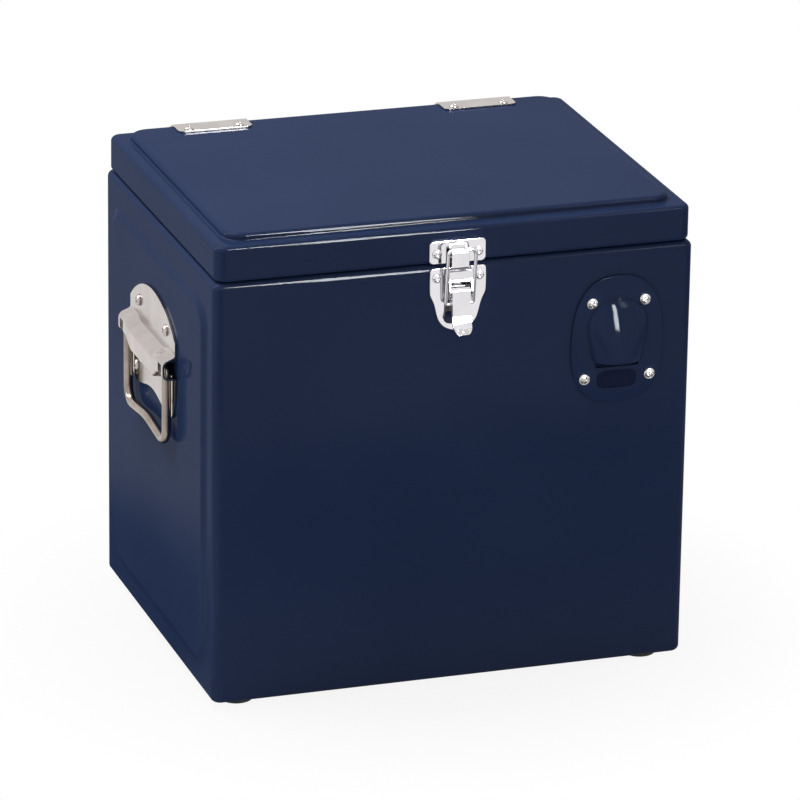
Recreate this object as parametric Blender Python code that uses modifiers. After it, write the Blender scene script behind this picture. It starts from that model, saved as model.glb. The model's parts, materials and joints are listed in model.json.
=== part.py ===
"""Insulated steel picnic cooler chest: shell, tub, lid, hinges, draw latch, opener and side handles."""
import math

import bmesh
import bpy
from mathutils import Matrix, Vector

# Driving sizes, in millimetres. Chest
WIDTH = 340.0
DEPTH = 268.0
SHELL_HEIGHT = 301.0
SHEET = 1.5
FIT_GAP = 0.3
BODY_CORNER = 7.0
BODY_TOP_RADIUS = 4.5
BODY_BOTTOM_RADIUS = 4.0
LIP_WIDTH = 12.0
SIDE_PANEL_RAISE = 2.5
SIDE_PANEL_MARGIN = 17.0
SIDE_PANEL_TOP_MARGIN = 18.0
SIDE_PANEL_CORNER = 22.0
SIDE_PANEL_EDGE = 7.5
TUB_INSET = 30.0
TUB_WALL = 2.0
TUB_FLOOR = 28.0
TUB_FLOOR_RADIUS = 10.0
TUB_CORNER = 18.0
FOOT_HEIGHT = 6.0
FOOT_RADIUS = 13.0
FOOT_INSET = 23.0
FOOT_WEB = 3.0

# Lid
LID_INSET = 1.7
LID_GAP = 0.6
LID_SKIRT = 25.5
LID_CORNER = 8.0
LID_EDGE_RADIUS = 3.5
LID_HEM_RADIUS = 3.0
LID_HEM_WIDTH = 7.0
LID_PANEL = 5.0
PANEL_INSET = 12.0
PANEL_EDGE_RADIUS = 3.2
PANEL_FILLET = 1.5
PANEL_CORNER = 14.0
PANEL_BACK_SHIFT = 0.5
PLUG_DROP = 10.0
PLUG_CLEARANCE = 3.0
PLUG_RADIUS = 8.0
SEAL_CLEARANCE = 3.0

# Hinges
HINGE_MARGIN = 72.0
HINGE_WIDTH = 54.0
HINGE_AXIS_BACK = 5.0
KNUCKLE_RADIUS = 3.6
KNUCKLE_LENGTH = 17.6
KNUCKLE_GAP = 0.4
WEB_SETBACK = 0.4
HINGE_PIN_RADIUS = 1.7
LEAF_HEIGHT = 21.5
LEAF_DROP = 4.5
STRAP_REACH = 31.0
STRAP_STAND_OFF = 0.4
STRAP_SHEET = 1.1
STRAP_SLOPE = 28.0
HINGE_SCREW_HALF = 18.5

# Side handles
HANDLE_DROP = 87.0
HANDLE_HALF_WIDTH = 55.0
HANDLE_DOME_RISE = 41.0
HANDLE_LEG_DROP = 37.7
HANDLE_ARCH_DROP = 31.0
BAIL_WIRE_RADIUS = 3.25
BAIL_CLEARANCE = 0.45
BAIL_HALF_SPAN = 47.5
BAIL_DROP = 56.5
BAIL_BOW = 5.0
BAIL_ELBOW = 4.0
BAIL_CORNER = 11.0
ARM_SLOT_CLEARANCE = 0.6

# Draw latch, measured from the front face and the seam
LATCH_HALF_WIDTH = 20.0
LATCH_BASE_HEIGHT = 45.0
STRIKE_HEIGHT = 16.0
LATCH_SEAM_GAP = 1.5
EAR_INNER = 7.0
EAR_THICKNESS = 1.2
LEVER_HALF_WIDTH = 6.5
LEVER_AXIS_OUT = 6.0
LEVER_AXIS_DROP = 17.0
LEVER_LENGTH = 30.0
LEVER_KNUCKLE_RADIUS = 3.4
LATCH_PIN_RADIUS = 1.5
LOOP_AXIS_OUT = 4.0
LOOP_AXIS_DROP = 26.0
LOOP_BAR_OUT = 3.0
LOOP_WIRE_RADIUS = 1.25
LOOP_SIDE_CLEARANCE = 0.5
LOOP_CORNER = 3.4
LOOP_FOOT = 1.6
HOOK_RISE = 11.6
HOOK_OUT = 6.5
HOOK_GAP = 0.45
LATCH_REST_TURN = 8.0

# Bottle opener
OPENER_MARGIN = 54.5
OPENER_DROP = 64.0
OPENER_HALF_WIDTH = 33.0
OPENER_HALF_HEIGHT = 45.3
HOOD_HALF_WIDTH = 21.6
HOOD_TOP = 29.5
HOOD_LIP = 14.6
HOOD_OUT = 13.9
HOOD_WALL = 2.0

# Fasteners
SCREW_SHANK = 1.9
SCREW_HEAD = 4.1
SCREW_HEAD_HEIGHT = 2.5
SCREW_LENGTH = 9.0
RIVET_HEAD = 3.4
RIVET_HEAD_HEIGHT = 1.7
RIVET_LENGTH = 7.0
SEAT_GAP = 0.15

# The chest stands a little back, so that latch and hinges overhang the middle equally
Y_SHIFT = 4.0

# Derived levels
MM = 0.001
FRONT = -DEPTH / 2 + Y_SHIFT
BACK = DEPTH / 2 + Y_SHIFT
MIDDLE = (FRONT + BACK) / 2
SHELL_BOTTOM = FOOT_HEIGHT
SEAM = FOOT_HEIGHT + SHELL_HEIGHT
SKIRT_BOTTOM = SEAM + LID_GAP
FLANGE = SEAM + LID_SKIRT
LID_TOP = FLANGE + LID_PANEL
HANDLE_Z = SEAM - HANDLE_DROP
HINGE_X = WIDTH / 2 - HINGE_MARGIN
HINGE_Y = BACK + HINGE_AXIS_BACK
HINGE_Z = SEAM + LID_GAP / 2
PLATE_FRONT = FIT_GAP + SHEET
HANDLE_BACK = SIDE_PANEL_RAISE + FIT_GAP
HANDLE_FRONT = HANDLE_BACK + SHEET
BAIL_AXIS_OUT = HANDLE_FRONT + BAIL_CLEARANCE + BAIL_WIRE_RADIUS
OPENER_X = WIDTH / 2 - OPENER_MARGIN
SCREW_HOLE = SCREW_SHANK + FIT_GAP

for old in list(bpy.data.objects):
    bpy.data.objects.remove(old, do_unlink=True)

PARTS = bpy.data.collections.new("cooler_chest")
CUTTERS = bpy.data.collections.new("cutters")
bpy.context.scene.collection.children.link(PARTS)
bpy.context.scene.collection.children.link(CUTTERS)


def material(name, colour, metallic, roughness):
    made = bpy.data.materials.new(name)
    made.use_nodes = True
    shader = made.node_tree.nodes["Principled BSDF"]
    shader.inputs["Base Color"].default_value = (*colour, 1.0)
    shader.inputs["Metallic"].default_value = metallic
    shader.inputs["Roughness"].default_value = roughness
    made.diffuse_color = (*colour, 1.0)
    return made


NAVY = material("navy_powder_coat", (0.016, 0.022, 0.055), 0.0, 0.25)
CHROME = material("polished_chrome", (0.75, 0.76, 0.78), 1.0, 0.1)
NICKEL = material("satin_nickel", (0.6, 0.57, 0.53), 1.0, 0.35)
STEEL = material("bright_steel", (0.65, 0.65, 0.66), 1.0, 0.25)
WHITE = material("white_plastic", (0.8, 0.8, 0.78), 0.0, 0.4)
FOAM = material("insulating_foam", (0.75, 0.68, 0.45), 0.0, 0.9)
RUBBER = material("black_rubber", (0.02, 0.02, 0.02), 0.0, 0.7)
GASKET = material("grey_gasket", (0.12, 0.12, 0.12), 0.0, 0.6)


def place_mesh(name, mesh, skin, origin, cutter):
    """Put a mesh given in world space into the scene, with its origin at a chosen point."""
    mesh.transform(Matrix.Translation(-Vector(origin) * MM))
    if skin is not None:
        mesh.materials.append(skin)
    item = bpy.data.objects.new(name, mesh)
    item.location = Vector(origin) * MM
    if cutter:
        CUTTERS.objects.link(item)
        item.hide_render = True
        item.display_type = "WIRE"
    else:
        PARTS.objects.link(item)
    return item


def loft(name, loops, skin, origin=(0.0, 0.0, 0.0), cutter=False):
    """Closed skin through sections of equal point count, capped at both ends."""
    mesh = bpy.data.meshes.new(name)
    skin_mesh = bmesh.new()
    rows = [[skin_mesh.verts.new(Vector(point) * MM) for point in loop] for loop in loops]
    for row, after in zip(rows, rows[1:]):
        for k in range(len(row)):
            follow = (k + 1) % len(row)
            skin_mesh.faces.new((row[k], row[follow], after[follow], after[k]))
    skin_mesh.faces.new(rows[0])
    skin_mesh.faces.new(rows[-1])
    bmesh.ops.recalc_face_normals(skin_mesh, faces=skin_mesh.faces)
    skin_mesh.to_mesh(mesh)
    skin_mesh.free()
    return place_mesh(name, mesh, skin, origin, cutter)


def frame(across, up, start):
    """Matrix from outline space (across, up, outward) to world space."""
    outward = Vector(across).cross(Vector(up))
    turn = Matrix((Vector(across), Vector(up), outward)).transposed().to_4x4()
    return Matrix.Translation(Vector(start) * MM) @ turn


def flat_plate(name, outline, low, high, where, skin, origin=(0.0, 0.0, 0.0), cutter=False):
    """Plate cut to an outline, between two heights above its frame."""
    curve = bpy.data.curves.new(name + "_outline", "CURVE")
    curve.dimensions = "2D"
    curve.fill_mode = "BOTH"
    curve.extrude = (high - low) / 2 * MM
    spline = curve.splines.new("POLY")
    spline.points.add(len(outline) - 1)
    for point, (a, b) in zip(spline.points, outline):
        point.co = (a * MM, b * MM, 0.0, 1.0)
    spline.use_cyclic_u = True
    drawn = bpy.data.objects.new(name + "_outline", curve)
    CUTTERS.objects.link(drawn)
    view = bpy.context.evaluated_depsgraph_get()
    mesh = bpy.data.meshes.new_from_object(drawn.evaluated_get(view))
    bpy.data.objects.remove(drawn, do_unlink=True)
    mesh.name = name
    mesh.materials.clear()
    welded = bmesh.new()
    welded.from_mesh(mesh)
    bmesh.ops.remove_doubles(welded, verts=welded.verts, dist=1e-6)
    bmesh.ops.recalc_face_normals(welded, faces=welded.faces)
    welded.to_mesh(mesh)
    welded.free()
    mesh.transform(where @ Matrix.Translation((0.0, 0.0, (low + high) / 2 * MM)))
    return place_mesh(name, mesh, skin, origin, cutter)


def turned(name, profile, skin, spot, direction, steps=16, cutter=False):
    """Turned piece: a profile of (radius, height) pairs, top to bottom, spun about its own axis."""
    mesh = bpy.data.meshes.new(name)
    points = [(0.0, 0.0, profile[0][1] * MM)]
    points += [(radius * MM, 0.0, height * MM) for radius, height in profile]
    points += [(0.0, 0.0, profile[-1][1] * MM)]
    mesh.from_pydata(points, [(k, k + 1) for k in range(len(points) - 1)], [])
    item = place_mesh(name, mesh, skin, (0.0, 0.0, 0.0), cutter)
    item.location = Vector(spot) * MM
    item.rotation_euler = Vector(direction).to_track_quat("Z", "X").to_euler()
    spin = item.modifiers.new("spin", "SCREW")
    spin.steps = steps
    spin.render_steps = steps
    spin.use_merge_vertices = True
    spin.merge_threshold = 0.00001
    return item


def bent_wire(name, path, radius, closed, skin, origin, sides=2):
    """Round wire along a path of world points."""
    curve = bpy.data.curves.new(name, "CURVE")
    curve.dimensions = "3D"
    curve.bevel_depth = radius * MM
    curve.bevel_resolution = sides
    curve.use_fill_caps = True
    curve.materials.append(skin)
    spline = curve.splines.new("POLY")
    spline.points.add(len(path) - 1)
    for point, world in zip(spline.points, path):
        point.co = (*((Vector(world) - Vector(origin)) * MM), 1.0)
    spline.use_cyclic_u = closed
    item = bpy.data.objects.new(name, curve)
    item.location = Vector(origin) * MM
    PARTS.objects.link(item)
    return item


def cut(item, tool, operation="DIFFERENCE"):
    step = item.modifiers.new(tool.name, "BOOLEAN")
    step.operation = operation
    step.solver = "EXACT"
    step.object = tool


def rounded_rectangle(x0, x1, y0, y1, radius, segments=4):
    """Corner-rounded rectangle as a list of plane points."""
    centres = ((x1 - radius, y1 - radius, 0), (x0 + radius, y1 - radius, 90),
               (x0 + radius, y0 + radius, 180), (x1 - radius, y0 + radius, 270))
    outline = []
    for cx, cy, start in centres:
        for k in range(segments + 1):
            angle = math.radians(start + 90.0 * k / segments)
            outline.append((cx + radius * math.cos(angle), cy + radius * math.sin(angle)))
    return outline


def level_loop(inset, z, radius, back_shift=0.0):
    """Rounded rectangle inset from the chest outline at one height."""
    outline = rounded_rectangle(-WIDTH / 2 + inset, WIDTH / 2 - inset,
                                FRONT + inset, BACK - inset + back_shift, radius)
    return [(x, y, z) for x, y in outline]


def arc(inset, z, radius, start, end, steps=4):
    """Inset and height pairs round an edge; 0 degrees points outward, 90 up."""
    pairs = []
    for k in range(steps + 1):
        angle = math.radians(start + (end - start) * k / steps)
        pairs.append((inset - radius * math.cos(angle), z + radius * math.sin(angle)))
    return pairs


def stacked(pairs, corner, shift=lambda inset, z: 0.0):
    """Sections of a drawn sheet or moulding, from its inset and height profile."""
    return [level_loop(inset, z, corner(inset), shift(inset, z)) for inset, z in pairs]


def circle(radius, count, cx=0.0, cy=0.0):
    turn = 2 * math.pi / count
    return [(cx + radius * math.cos(turn * k), cy + radius * math.sin(turn * k)) for k in range(count)]


def rounded_path(corners, radii, closed, steps=5):
    """Plane path with circular corners."""
    total = len(corners)
    path = []
    for k in range(total):
        here = corners[k]
        if radii[k] <= 0.0:
            path.append(here)
            continue
        before, after = corners[k - 1], corners[(k + 1) % total]
        first = (before[0] - here[0], before[1] - here[1])
        second = (after[0] - here[0], after[1] - here[1])
        l1, l2 = math.hypot(*first), math.hypot(*second)
        first = (first[0] / l1, first[1] / l1)
        second = (second[0] / l2, second[1] / l2)
        half = math.acos(max(-1.0, min(1.0, first[0] * second[0] + first[1] * second[1]))) / 2
        reach = radii[k] / math.tan(half)
        middle = (first[0] + second[0], first[1] + second[1])
        size = math.hypot(*middle)
        centre = (here[0] + middle[0] / size * radii[k] / math.sin(half),
                  here[1] + middle[1] / size * radii[k] / math.sin(half))
        start = (here[0] + first[0] * reach - centre[0], here[1] + first[1] * reach - centre[1])
        end = (here[0] + second[0] * reach - centre[0], here[1] + second[1] * reach - centre[1])
        a0, a1 = math.atan2(start[1], start[0]), math.atan2(end[1], end[0])
        turn = (a1 - a0 + math.pi) % (2 * math.pi) - math.pi
        for step in range(steps + 1):
            angle = a0 + turn * step / steps
            path.append((centre[0] + radii[k] * math.cos(angle), centre[1] + radii[k] * math.sin(angle)))
    return path


FRONT_FACE = frame((1, 0, 0), (0, 0, 1), (0.0, FRONT, SEAM))
LATCH_SIDE = frame((0, -1, 0), (0, 0, 1), (0.0, FRONT, SEAM))
OPENER_FACE = frame((1, 0, 0), (0, 0, 1), (OPENER_X, FRONT, SEAM - OPENER_DROP))
SIDES = ((-1, "left"), (1, "right"))
FEET = ((-1, -1, "front_left"), (1, -1, "front_right"), (-1, 1, "back_left"), (1, 1, "back_right"))


def front_point(x, z, out):
    """Front face coordinates: x, height above the seam, distance out."""
    return (x, FRONT - out, SEAM + z)


def side_point(side, u, v, out):
    """Side face coordinates: along the depth, height above the bail axis, distance out."""
    return (side * (WIDTH / 2 + out), MIDDLE + u, HANDLE_Z + v)


def foot_centre(sx, sy):
    return (sx * (WIDTH / 2 - FOOT_INSET), MIDDLE + sy * (DEPTH / 2 - FOOT_INSET))


# Fasteners: name, head, seat point and direction of every screw and rivet
PAN_HEAD = [(SCREW_HEAD * 0.58, SCREW_HEAD_HEIGHT), (SCREW_HEAD * 0.95, SCREW_HEAD_HEIGHT * 0.55),
            (SCREW_HEAD, SEAT_GAP)]
RIVET_DOME = [(RIVET_HEAD * 0.47, RIVET_HEAD_HEIGHT), (RIVET_HEAD * 0.85, RIVET_HEAD_HEIGHT * 0.65),
              (RIVET_HEAD, SEAT_GAP)]
handle_screw_u = HANDLE_HALF_WIDTH * 0.6
handle_screw_v = HANDLE_DOME_RISE * 0.55
leg_screw_u = HANDLE_HALF_WIDTH * 0.68
leg_screw_v = -HANDLE_LEG_DROP * 0.69
opener_screw_z = OPENER_HALF_HEIGHT * 0.596
opener_top_x = OPENER_HALF_WIDTH * 0.576
opener_low_x = OPENER_HALF_WIDTH * 0.712
base_rivet_x = LATCH_HALF_WIDTH * 0.75
base_rivet_z = -LATCH_SEAM_GAP - LATCH_BASE_HEIGHT * 0.155
strike_rivet_x = LATCH_HALF_WIDTH * 0.73
strike_rivet_z = LATCH_SEAM_GAP - LID_GAP + STRIKE_HEIGHT * 0.44
strap_screw_y = BACK - STRAP_REACH + SCREW_HEAD + 1.4
leaf_screw_z = SEAM - LEAF_DROP - LEAF_HEIGHT * 0.535
fasteners = []
for side, side_name in SIDES:
    spots = [(-handle_screw_u, handle_screw_v), (handle_screw_u, handle_screw_v),
             (-leg_screw_u, leg_screw_v), (leg_screw_u, leg_screw_v)]
    for number, (u, v) in enumerate(spots, 1):
        fasteners.append((f"handle_screw_{side_name}_{number}", PAN_HEAD,
                          side_point(side, u, v, HANDLE_FRONT), (side, 0, 0)))
spots = [(-opener_top_x, opener_screw_z), (opener_top_x, opener_screw_z),
         (-opener_low_x, -opener_screw_z), (opener_low_x, -opener_screw_z)]
for number, (x, z) in enumerate(spots, 1):
    seat = front_point(OPENER_X + x, z - OPENER_DROP, PLATE_FRONT)
    fasteners.append((f"opener_screw_{number}", PAN_HEAD, seat, (0, -1, 0)))
for side, side_name in SIDES:
    seat = front_point(side * base_rivet_x, base_rivet_z, PLATE_FRONT)
    fasteners.append((f"latch_base_rivet_{side_name}", RIVET_DOME, seat, (0, -1, 0)))
    seat = front_point(side * strike_rivet_x, strike_rivet_z, PLATE_FRONT - LID_INSET)
    fasteners.append((f"latch_strike_rivet_{side_name}", RIVET_DOME, seat, (0, -1, 0)))
    for number, offset in ((1, -HINGE_SCREW_HALF), (2, HINGE_SCREW_HALF)):
        seat = (side * HINGE_X + offset, strap_screw_y, LID_TOP + FIT_GAP + STRAP_SHEET)
        fasteners.append((f"hinge_strap_screw_{side_name}_{number}", RIVET_DOME, seat, (0, 0, 1)))
        seat = (side * HINGE_X + offset, BACK + PLATE_FRONT, leaf_screw_z)
        fasteners.append((f"hinge_leaf_screw_{side_name}_{number}", RIVET_DOME, seat, (0, 1, 0)))
for sx, sy, foot_name in FEET:
    seat = (*foot_centre(sx, sy), FOOT_HEIGHT - FOOT_WEB)
    fasteners.append((f"foot_screw_{foot_name}", PAN_HEAD, seat, (0, 0, -1)))

FASTENER_SIDES = 8
hole_mesh = bmesh.new()
for fastener_name, head, seat, direction in fasteners:
    skin = CHROME if "rivet" in fastener_name else STEEL
    shank = RIVET_LENGTH if "rivet" in fastener_name else SCREW_LENGTH
    profile = head + [(SCREW_SHANK, SEAT_GAP), (SCREW_SHANK, -shank)]
    turned(fastener_name, profile, skin, seat, direction, FASTENER_SIDES)
    low, high = -shank - FIT_GAP, SCREW_HEAD_HEIGHT
    centre = (Vector(seat) + Vector(direction) * (low + high) / 2) * MM
    turn = Vector(direction).to_track_quat("Z", "X").to_matrix().to_4x4()
    bmesh.ops.create_cone(hole_mesh, cap_ends=True, segments=FASTENER_SIDES,
                          radius1=SCREW_HOLE * MM, radius2=SCREW_HOLE * MM, depth=(high - low) * MM,
                          matrix=Matrix.Translation(centre) @ turn)
holes = bpy.data.meshes.new("fastener_holes")
hole_mesh.to_mesh(holes)
hole_mesh.free()
ALL_HOLES = place_mesh("fastener_holes", holes, None, (0.0, 0.0, 0.0), True)

# Chest shell: one drawn profile from the underside, over the rolled lip, to the inside floor


def body_corner(inset):
    if inset >= LIP_WIDTH:
        return BODY_CORNER
    return max(BODY_CORNER - inset, 1.5)


bottom_z = SHELL_BOTTOM + BODY_BOTTOM_RADIUS
top_z = SEAM - BODY_TOP_RADIUS
shell_pairs = arc(BODY_BOTTOM_RADIUS, bottom_z, BODY_BOTTOM_RADIUS, -90, 0, 4)
shell_pairs += arc(BODY_TOP_RADIUS, top_z, BODY_TOP_RADIUS, 0, 90, 4)
shell_pairs += [(LIP_WIDTH, SEAM), (LIP_WIDTH, SEAM - SHEET)]
shell_pairs += arc(BODY_TOP_RADIUS, top_z, BODY_TOP_RADIUS - SHEET, 90, 0, 1)
shell_pairs += arc(BODY_BOTTOM_RADIUS, bottom_z, BODY_BOTTOM_RADIUS - SHEET, 0, -90, 1)
outer_shell = loft("outer_shell", stacked(shell_pairs, body_corner), NAVY)

# Raised panels on both sides, with a soft edge
for side, side_name in SIDES:
    panel_loops = []
    for share, rise in ((0.0, -0.3), (0.0, 0.0), (0.25, 0.2), (0.5, 0.64), (0.75, 0.93), (1.0, 1.0)):
        inset = SIDE_PANEL_EDGE * share
        margin = SIDE_PANEL_MARGIN + inset
        outline = rounded_rectangle(FRONT + margin, BACK - margin, SHELL_BOTTOM + margin,
                                    SEAM - SIDE_PANEL_TOP_MARGIN - inset, SIDE_PANEL_CORNER - inset, 4)
        out = SIDE_PANEL_RAISE * rise
        panel_loops.append([(side * (WIDTH / 2 + out), y, z) for y, z in outline])
    cut(outer_shell, loft("side_panel_" + side_name, panel_loops, None, cutter=True), "UNION")
cut(outer_shell, ALL_HOLES)

# Tub, with its rim held under the shell's lip, and the foam round it
rim_top = SEAM - SHEET - FIT_GAP
rim_under = rim_top - TUB_WALL
rim_edge = BODY_TOP_RADIUS + FIT_GAP
foam_side = SHEET + FIT_GAP
floor_z = SHELL_BOTTOM + TUB_FLOOR
floor_bend = (TUB_INSET + TUB_FLOOR_RADIUS, floor_z + TUB_FLOOR_RADIUS)
mouth = TUB_WALL + 1.0


def tub_corner(inset):
    if inset < LIP_WIDTH:
        return max(BODY_CORNER - inset, 1.5)
    return max(TUB_CORNER + TUB_INSET - inset, 6.0)


foam_pairs = arc(BODY_BOTTOM_RADIUS, bottom_z, BODY_BOTTOM_RADIUS - foam_side, -90, 0, 1)
foam_pairs += [(foam_side, rim_under - FIT_GAP - SHEET), (rim_edge, rim_under - FIT_GAP)]
foam_pairs += [(TUB_INSET - TUB_WALL - FIT_GAP, rim_under - FIT_GAP)]
foam_pairs += arc(*floor_bend, TUB_FLOOR_RADIUS + TUB_WALL + FIT_GAP, 0, -90, 4)
body_foam = loft("body_foam", stacked(foam_pairs, tub_corner), FOAM)
cut(body_foam, ALL_HOLES)

tub_pairs = arc(*floor_bend, TUB_FLOOR_RADIUS, -90, 0, 4)
tub_pairs += arc(TUB_INSET - mouth, rim_top - mouth, -mouth, 0, -90, 2)
tub_pairs += [(rim_edge, rim_top), (rim_edge, rim_under), (TUB_INSET - TUB_WALL, rim_under)]
tub_pairs += arc(*floor_bend, TUB_FLOOR_RADIUS + TUB_WALL, 0, -90, 4)
loft("inner_tub", stacked(tub_pairs, tub_corner), WHITE)

# Feet, each with a recess for its screw
UP = (0, 0, 1)
for sx, sy, foot_name in FEET:
    spot = (*foot_centre(sx, sy), 0.0)
    foot = turned("foot_" + foot_name, [(FOOT_RADIUS, FOOT_HEIGHT - FIT_GAP), (FOOT_RADIUS - 1.0, 0.8),
                                        (FOOT_RADIUS - 2.0, 0.0)], RUBBER, spot, UP, 16)
    seat_z = FOOT_HEIGHT - FOOT_WEB
    recess = SCREW_HEAD + FIT_GAP
    bore = turned("foot_bore_" + foot_name, [(SCREW_HOLE, FOOT_HEIGHT + 1.0), (SCREW_HOLE, seat_z),
                                             (recess, seat_z), (recess, -1.0)],
                  None, spot, UP, FASTENER_SIDES, True)
    cut(foot, bore)

# Lid: drawn steel cover, foam, white pan and bulb seal, all turning on the hinge line
HINGE_LINE = (0.0, HINGE_Y, HINGE_Z)
panel_start = PANEL_INSET - PANEL_FILLET
edge_bend = (LID_INSET + LID_EDGE_RADIUS, FLANGE - LID_EDGE_RADIUS)
hem_bend = (LID_INSET + LID_HEM_RADIUS, SKIRT_BOTTOM + LID_HEM_RADIUS)
crown_bend = (PANEL_INSET + PANEL_EDGE_RADIUS, LID_TOP - PANEL_EDGE_RADIUS)
fillet_bend = (PANEL_INSET - PANEL_FILLET, FLANGE + PANEL_FILLET)
crown_flat = crown_bend[0] + 3.0


def lid_corner(inset):
    if inset < panel_start:
        return max(LID_CORNER + LID_INSET - inset, 2.0)
    return max(PANEL_CORNER + PANEL_INSET - inset, 6.0)


def panel_shift(inset, z):
    return PANEL_BACK_SHIFT if inset >= panel_start and z > FLANGE - SHEET - PANEL_FILLET else 0.0


def lid_skin(offset, steps):
    """Profile of the lid cover from its skirt up to the crown, a distance inside the outer face."""
    pairs = arc(*edge_bend, LID_EDGE_RADIUS - offset, 0, 90, steps)
    pairs += arc(*fillet_bend, -PANEL_FILLET - offset, 90, 0, 2)
    pairs += arc(*crown_bend, PANEL_EDGE_RADIUS - offset, 0, 90, steps)
    return pairs + [(crown_flat, LID_TOP - offset)]


hem_lip = LID_INSET + LID_HEM_WIDTH
lid_pairs = list(reversed(lid_skin(0.0, 4))) + arc(*hem_bend, LID_HEM_RADIUS, 0, -90, 3)
lid_pairs += [(hem_lip, SKIRT_BOTTOM), (hem_lip, SKIRT_BOTTOM + SHEET)]
lid_pairs += arc(*hem_bend, LID_HEM_RADIUS - SHEET, -90, 0, 2) + lid_skin(SHEET, 2)
lid_shell = loft("lid_shell", stacked(lid_pairs, lid_corner, panel_shift), NAVY, HINGE_LINE)
cut(lid_shell, ALL_HOLES)

pan_z = SKIRT_BOTTOM + SHEET + FIT_GAP
pan_top = pan_z + TUB_WALL
pan_edge = hem_bend[0] + FIT_GAP
plug_inset = TUB_INSET + PLUG_CLEARANCE
plug_bend = (plug_inset + PLUG_RADIUS, SEAM - PLUG_DROP + PLUG_RADIUS)


def pan_corner(inset):
    if inset < panel_start:
        return max(LID_CORNER + LID_INSET - inset, 2.0)
    return max(TUB_CORNER + plug_inset - inset, 6.0)


pan_pairs = arc(*plug_bend, PLUG_RADIUS, -90, 0, 4)
pan_pairs += [(plug_inset, pan_z), (pan_edge, pan_z), (pan_edge, pan_top), (plug_inset + TUB_WALL, pan_top)]
pan_pairs += arc(*plug_bend, PLUG_RADIUS - TUB_WALL, 0, -90, 4)
loft("lid_pan", stacked(pan_pairs, pan_corner), WHITE, HINGE_LINE)


def lid_foam_corner(inset):
    return pan_corner(inset) if inset > plug_inset - FIT_GAP else lid_corner(inset)


foam_under = pan_top + FIT_GAP
lid_foam_pairs = arc(*plug_bend, PLUG_RADIUS - TUB_WALL - FIT_GAP, -90, 0, 4)
lid_foam_pairs += [(plug_inset + TUB_WALL + FIT_GAP, foam_under), (pan_edge, foam_under)]
lid_foam_pairs += [(LID_INSET + foam_side, foam_under + FIT_GAP)] + lid_skin(foam_side, 2)
lid_foam = loft("lid_foam", stacked(lid_foam_pairs, lid_foam_corner, panel_shift), FOAM, HINGE_LINE)
cut(lid_foam, ALL_HOLES)

seal_radius = (pan_z - rim_top) / 2 - FIT_GAP
seal_path = level_loop(LIP_WIDTH + SEAL_CLEARANCE + seal_radius,
                       rim_top + FIT_GAP + seal_radius, TUB_CORNER)
bent_wire("lid_gasket", seal_path, seal_radius, True, GASKET, HINGE_LINE, 1)

# Hinges: a leaf on the back of the chest, a strap over the lid, and the pin through their knuckles
half = HINGE_WIDTH / 2
middle_half = KNUCKLE_LENGTH / 2
strap_in = BACK + STRAP_STAND_OFF
strap_out = strap_in + STRAP_SHEET
strap_front = BACK - STRAP_REACH
strap_low = HINGE_Z + KNUCKLE_RADIUS + 1.7
strap_under = LID_TOP + FIT_GAP
strap_top = strap_under + STRAP_SHEET
knuckle = circle(KNUCKLE_RADIUS, 16, HINGE_Y, HINGE_Z)
leaf_in = BACK + FIT_GAP
leaf_out = BACK + PLATE_FRONT
# The strap slopes down behind the raised panel, clear of the panel's crown and the lid's back edge
slope = math.radians(STRAP_SLOPE)
crown_back = BACK - crown_bend[0] + PANEL_BACK_SHIFT
edge_back = BACK - edge_bend[0]
slope_offset = FIT_GAP + max(
    crown_back * math.sin(slope) + crown_bend[1] * math.cos(slope) + PANEL_EDGE_RADIUS,
    edge_back * math.sin(slope) + edge_bend[1] * math.cos(slope) + LID_EDGE_RADIUS)


def slope_depth(z, thickness):
    return (slope_offset + thickness - z * math.cos(slope)) / math.sin(slope)


def slope_level(y, thickness):
    return (slope_offset + thickness - y * math.sin(slope)) / math.cos(slope)


strap_outline = [(strap_front, strap_under), (strap_front, strap_top - 0.4), (strap_front + 0.4, strap_top),
                 (slope_depth(strap_top, STRAP_SHEET), strap_top),
                 (strap_out, slope_level(strap_out, STRAP_SHEET)), (strap_out, strap_low),
                 (strap_in, strap_low), (strap_in, slope_level(strap_in, 0.0)),
                 (slope_depth(strap_under, 0.0), strap_under)]
web_in = leaf_in + SHEET / 6
web_out = leaf_out - SHEET / 6
leaf_web = [(web_in, SEAM - LEAF_DROP - 1.5), (web_out, SEAM - LEAF_DROP - 1.5),
            (HINGE_Y - KNUCKLE_RADIUS * 0.42, HINGE_Z - KNUCKLE_RADIUS * 0.67),
            (HINGE_Y - KNUCKLE_RADIUS * 0.56, HINGE_Z + KNUCKLE_RADIUS * 0.28),
            (web_out, HINGE_Z), (web_in, SEAM - LEAF_DROP + 1.5)]
tongue_in = strap_in + STRAP_SHEET / 6
tongue = [(tongue_in, strap_low + 1.2), (tongue_in, strap_low - 1.6),
          (HINGE_Y - KNUCKLE_RADIUS * 0.72, HINGE_Z - 0.5),
          (HINGE_Y + KNUCKLE_RADIUS * 0.17, HINGE_Z + KNUCKLE_RADIUS * 0.67),
          (strap_out - STRAP_SHEET / 6, strap_low + 1.2)]
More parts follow.
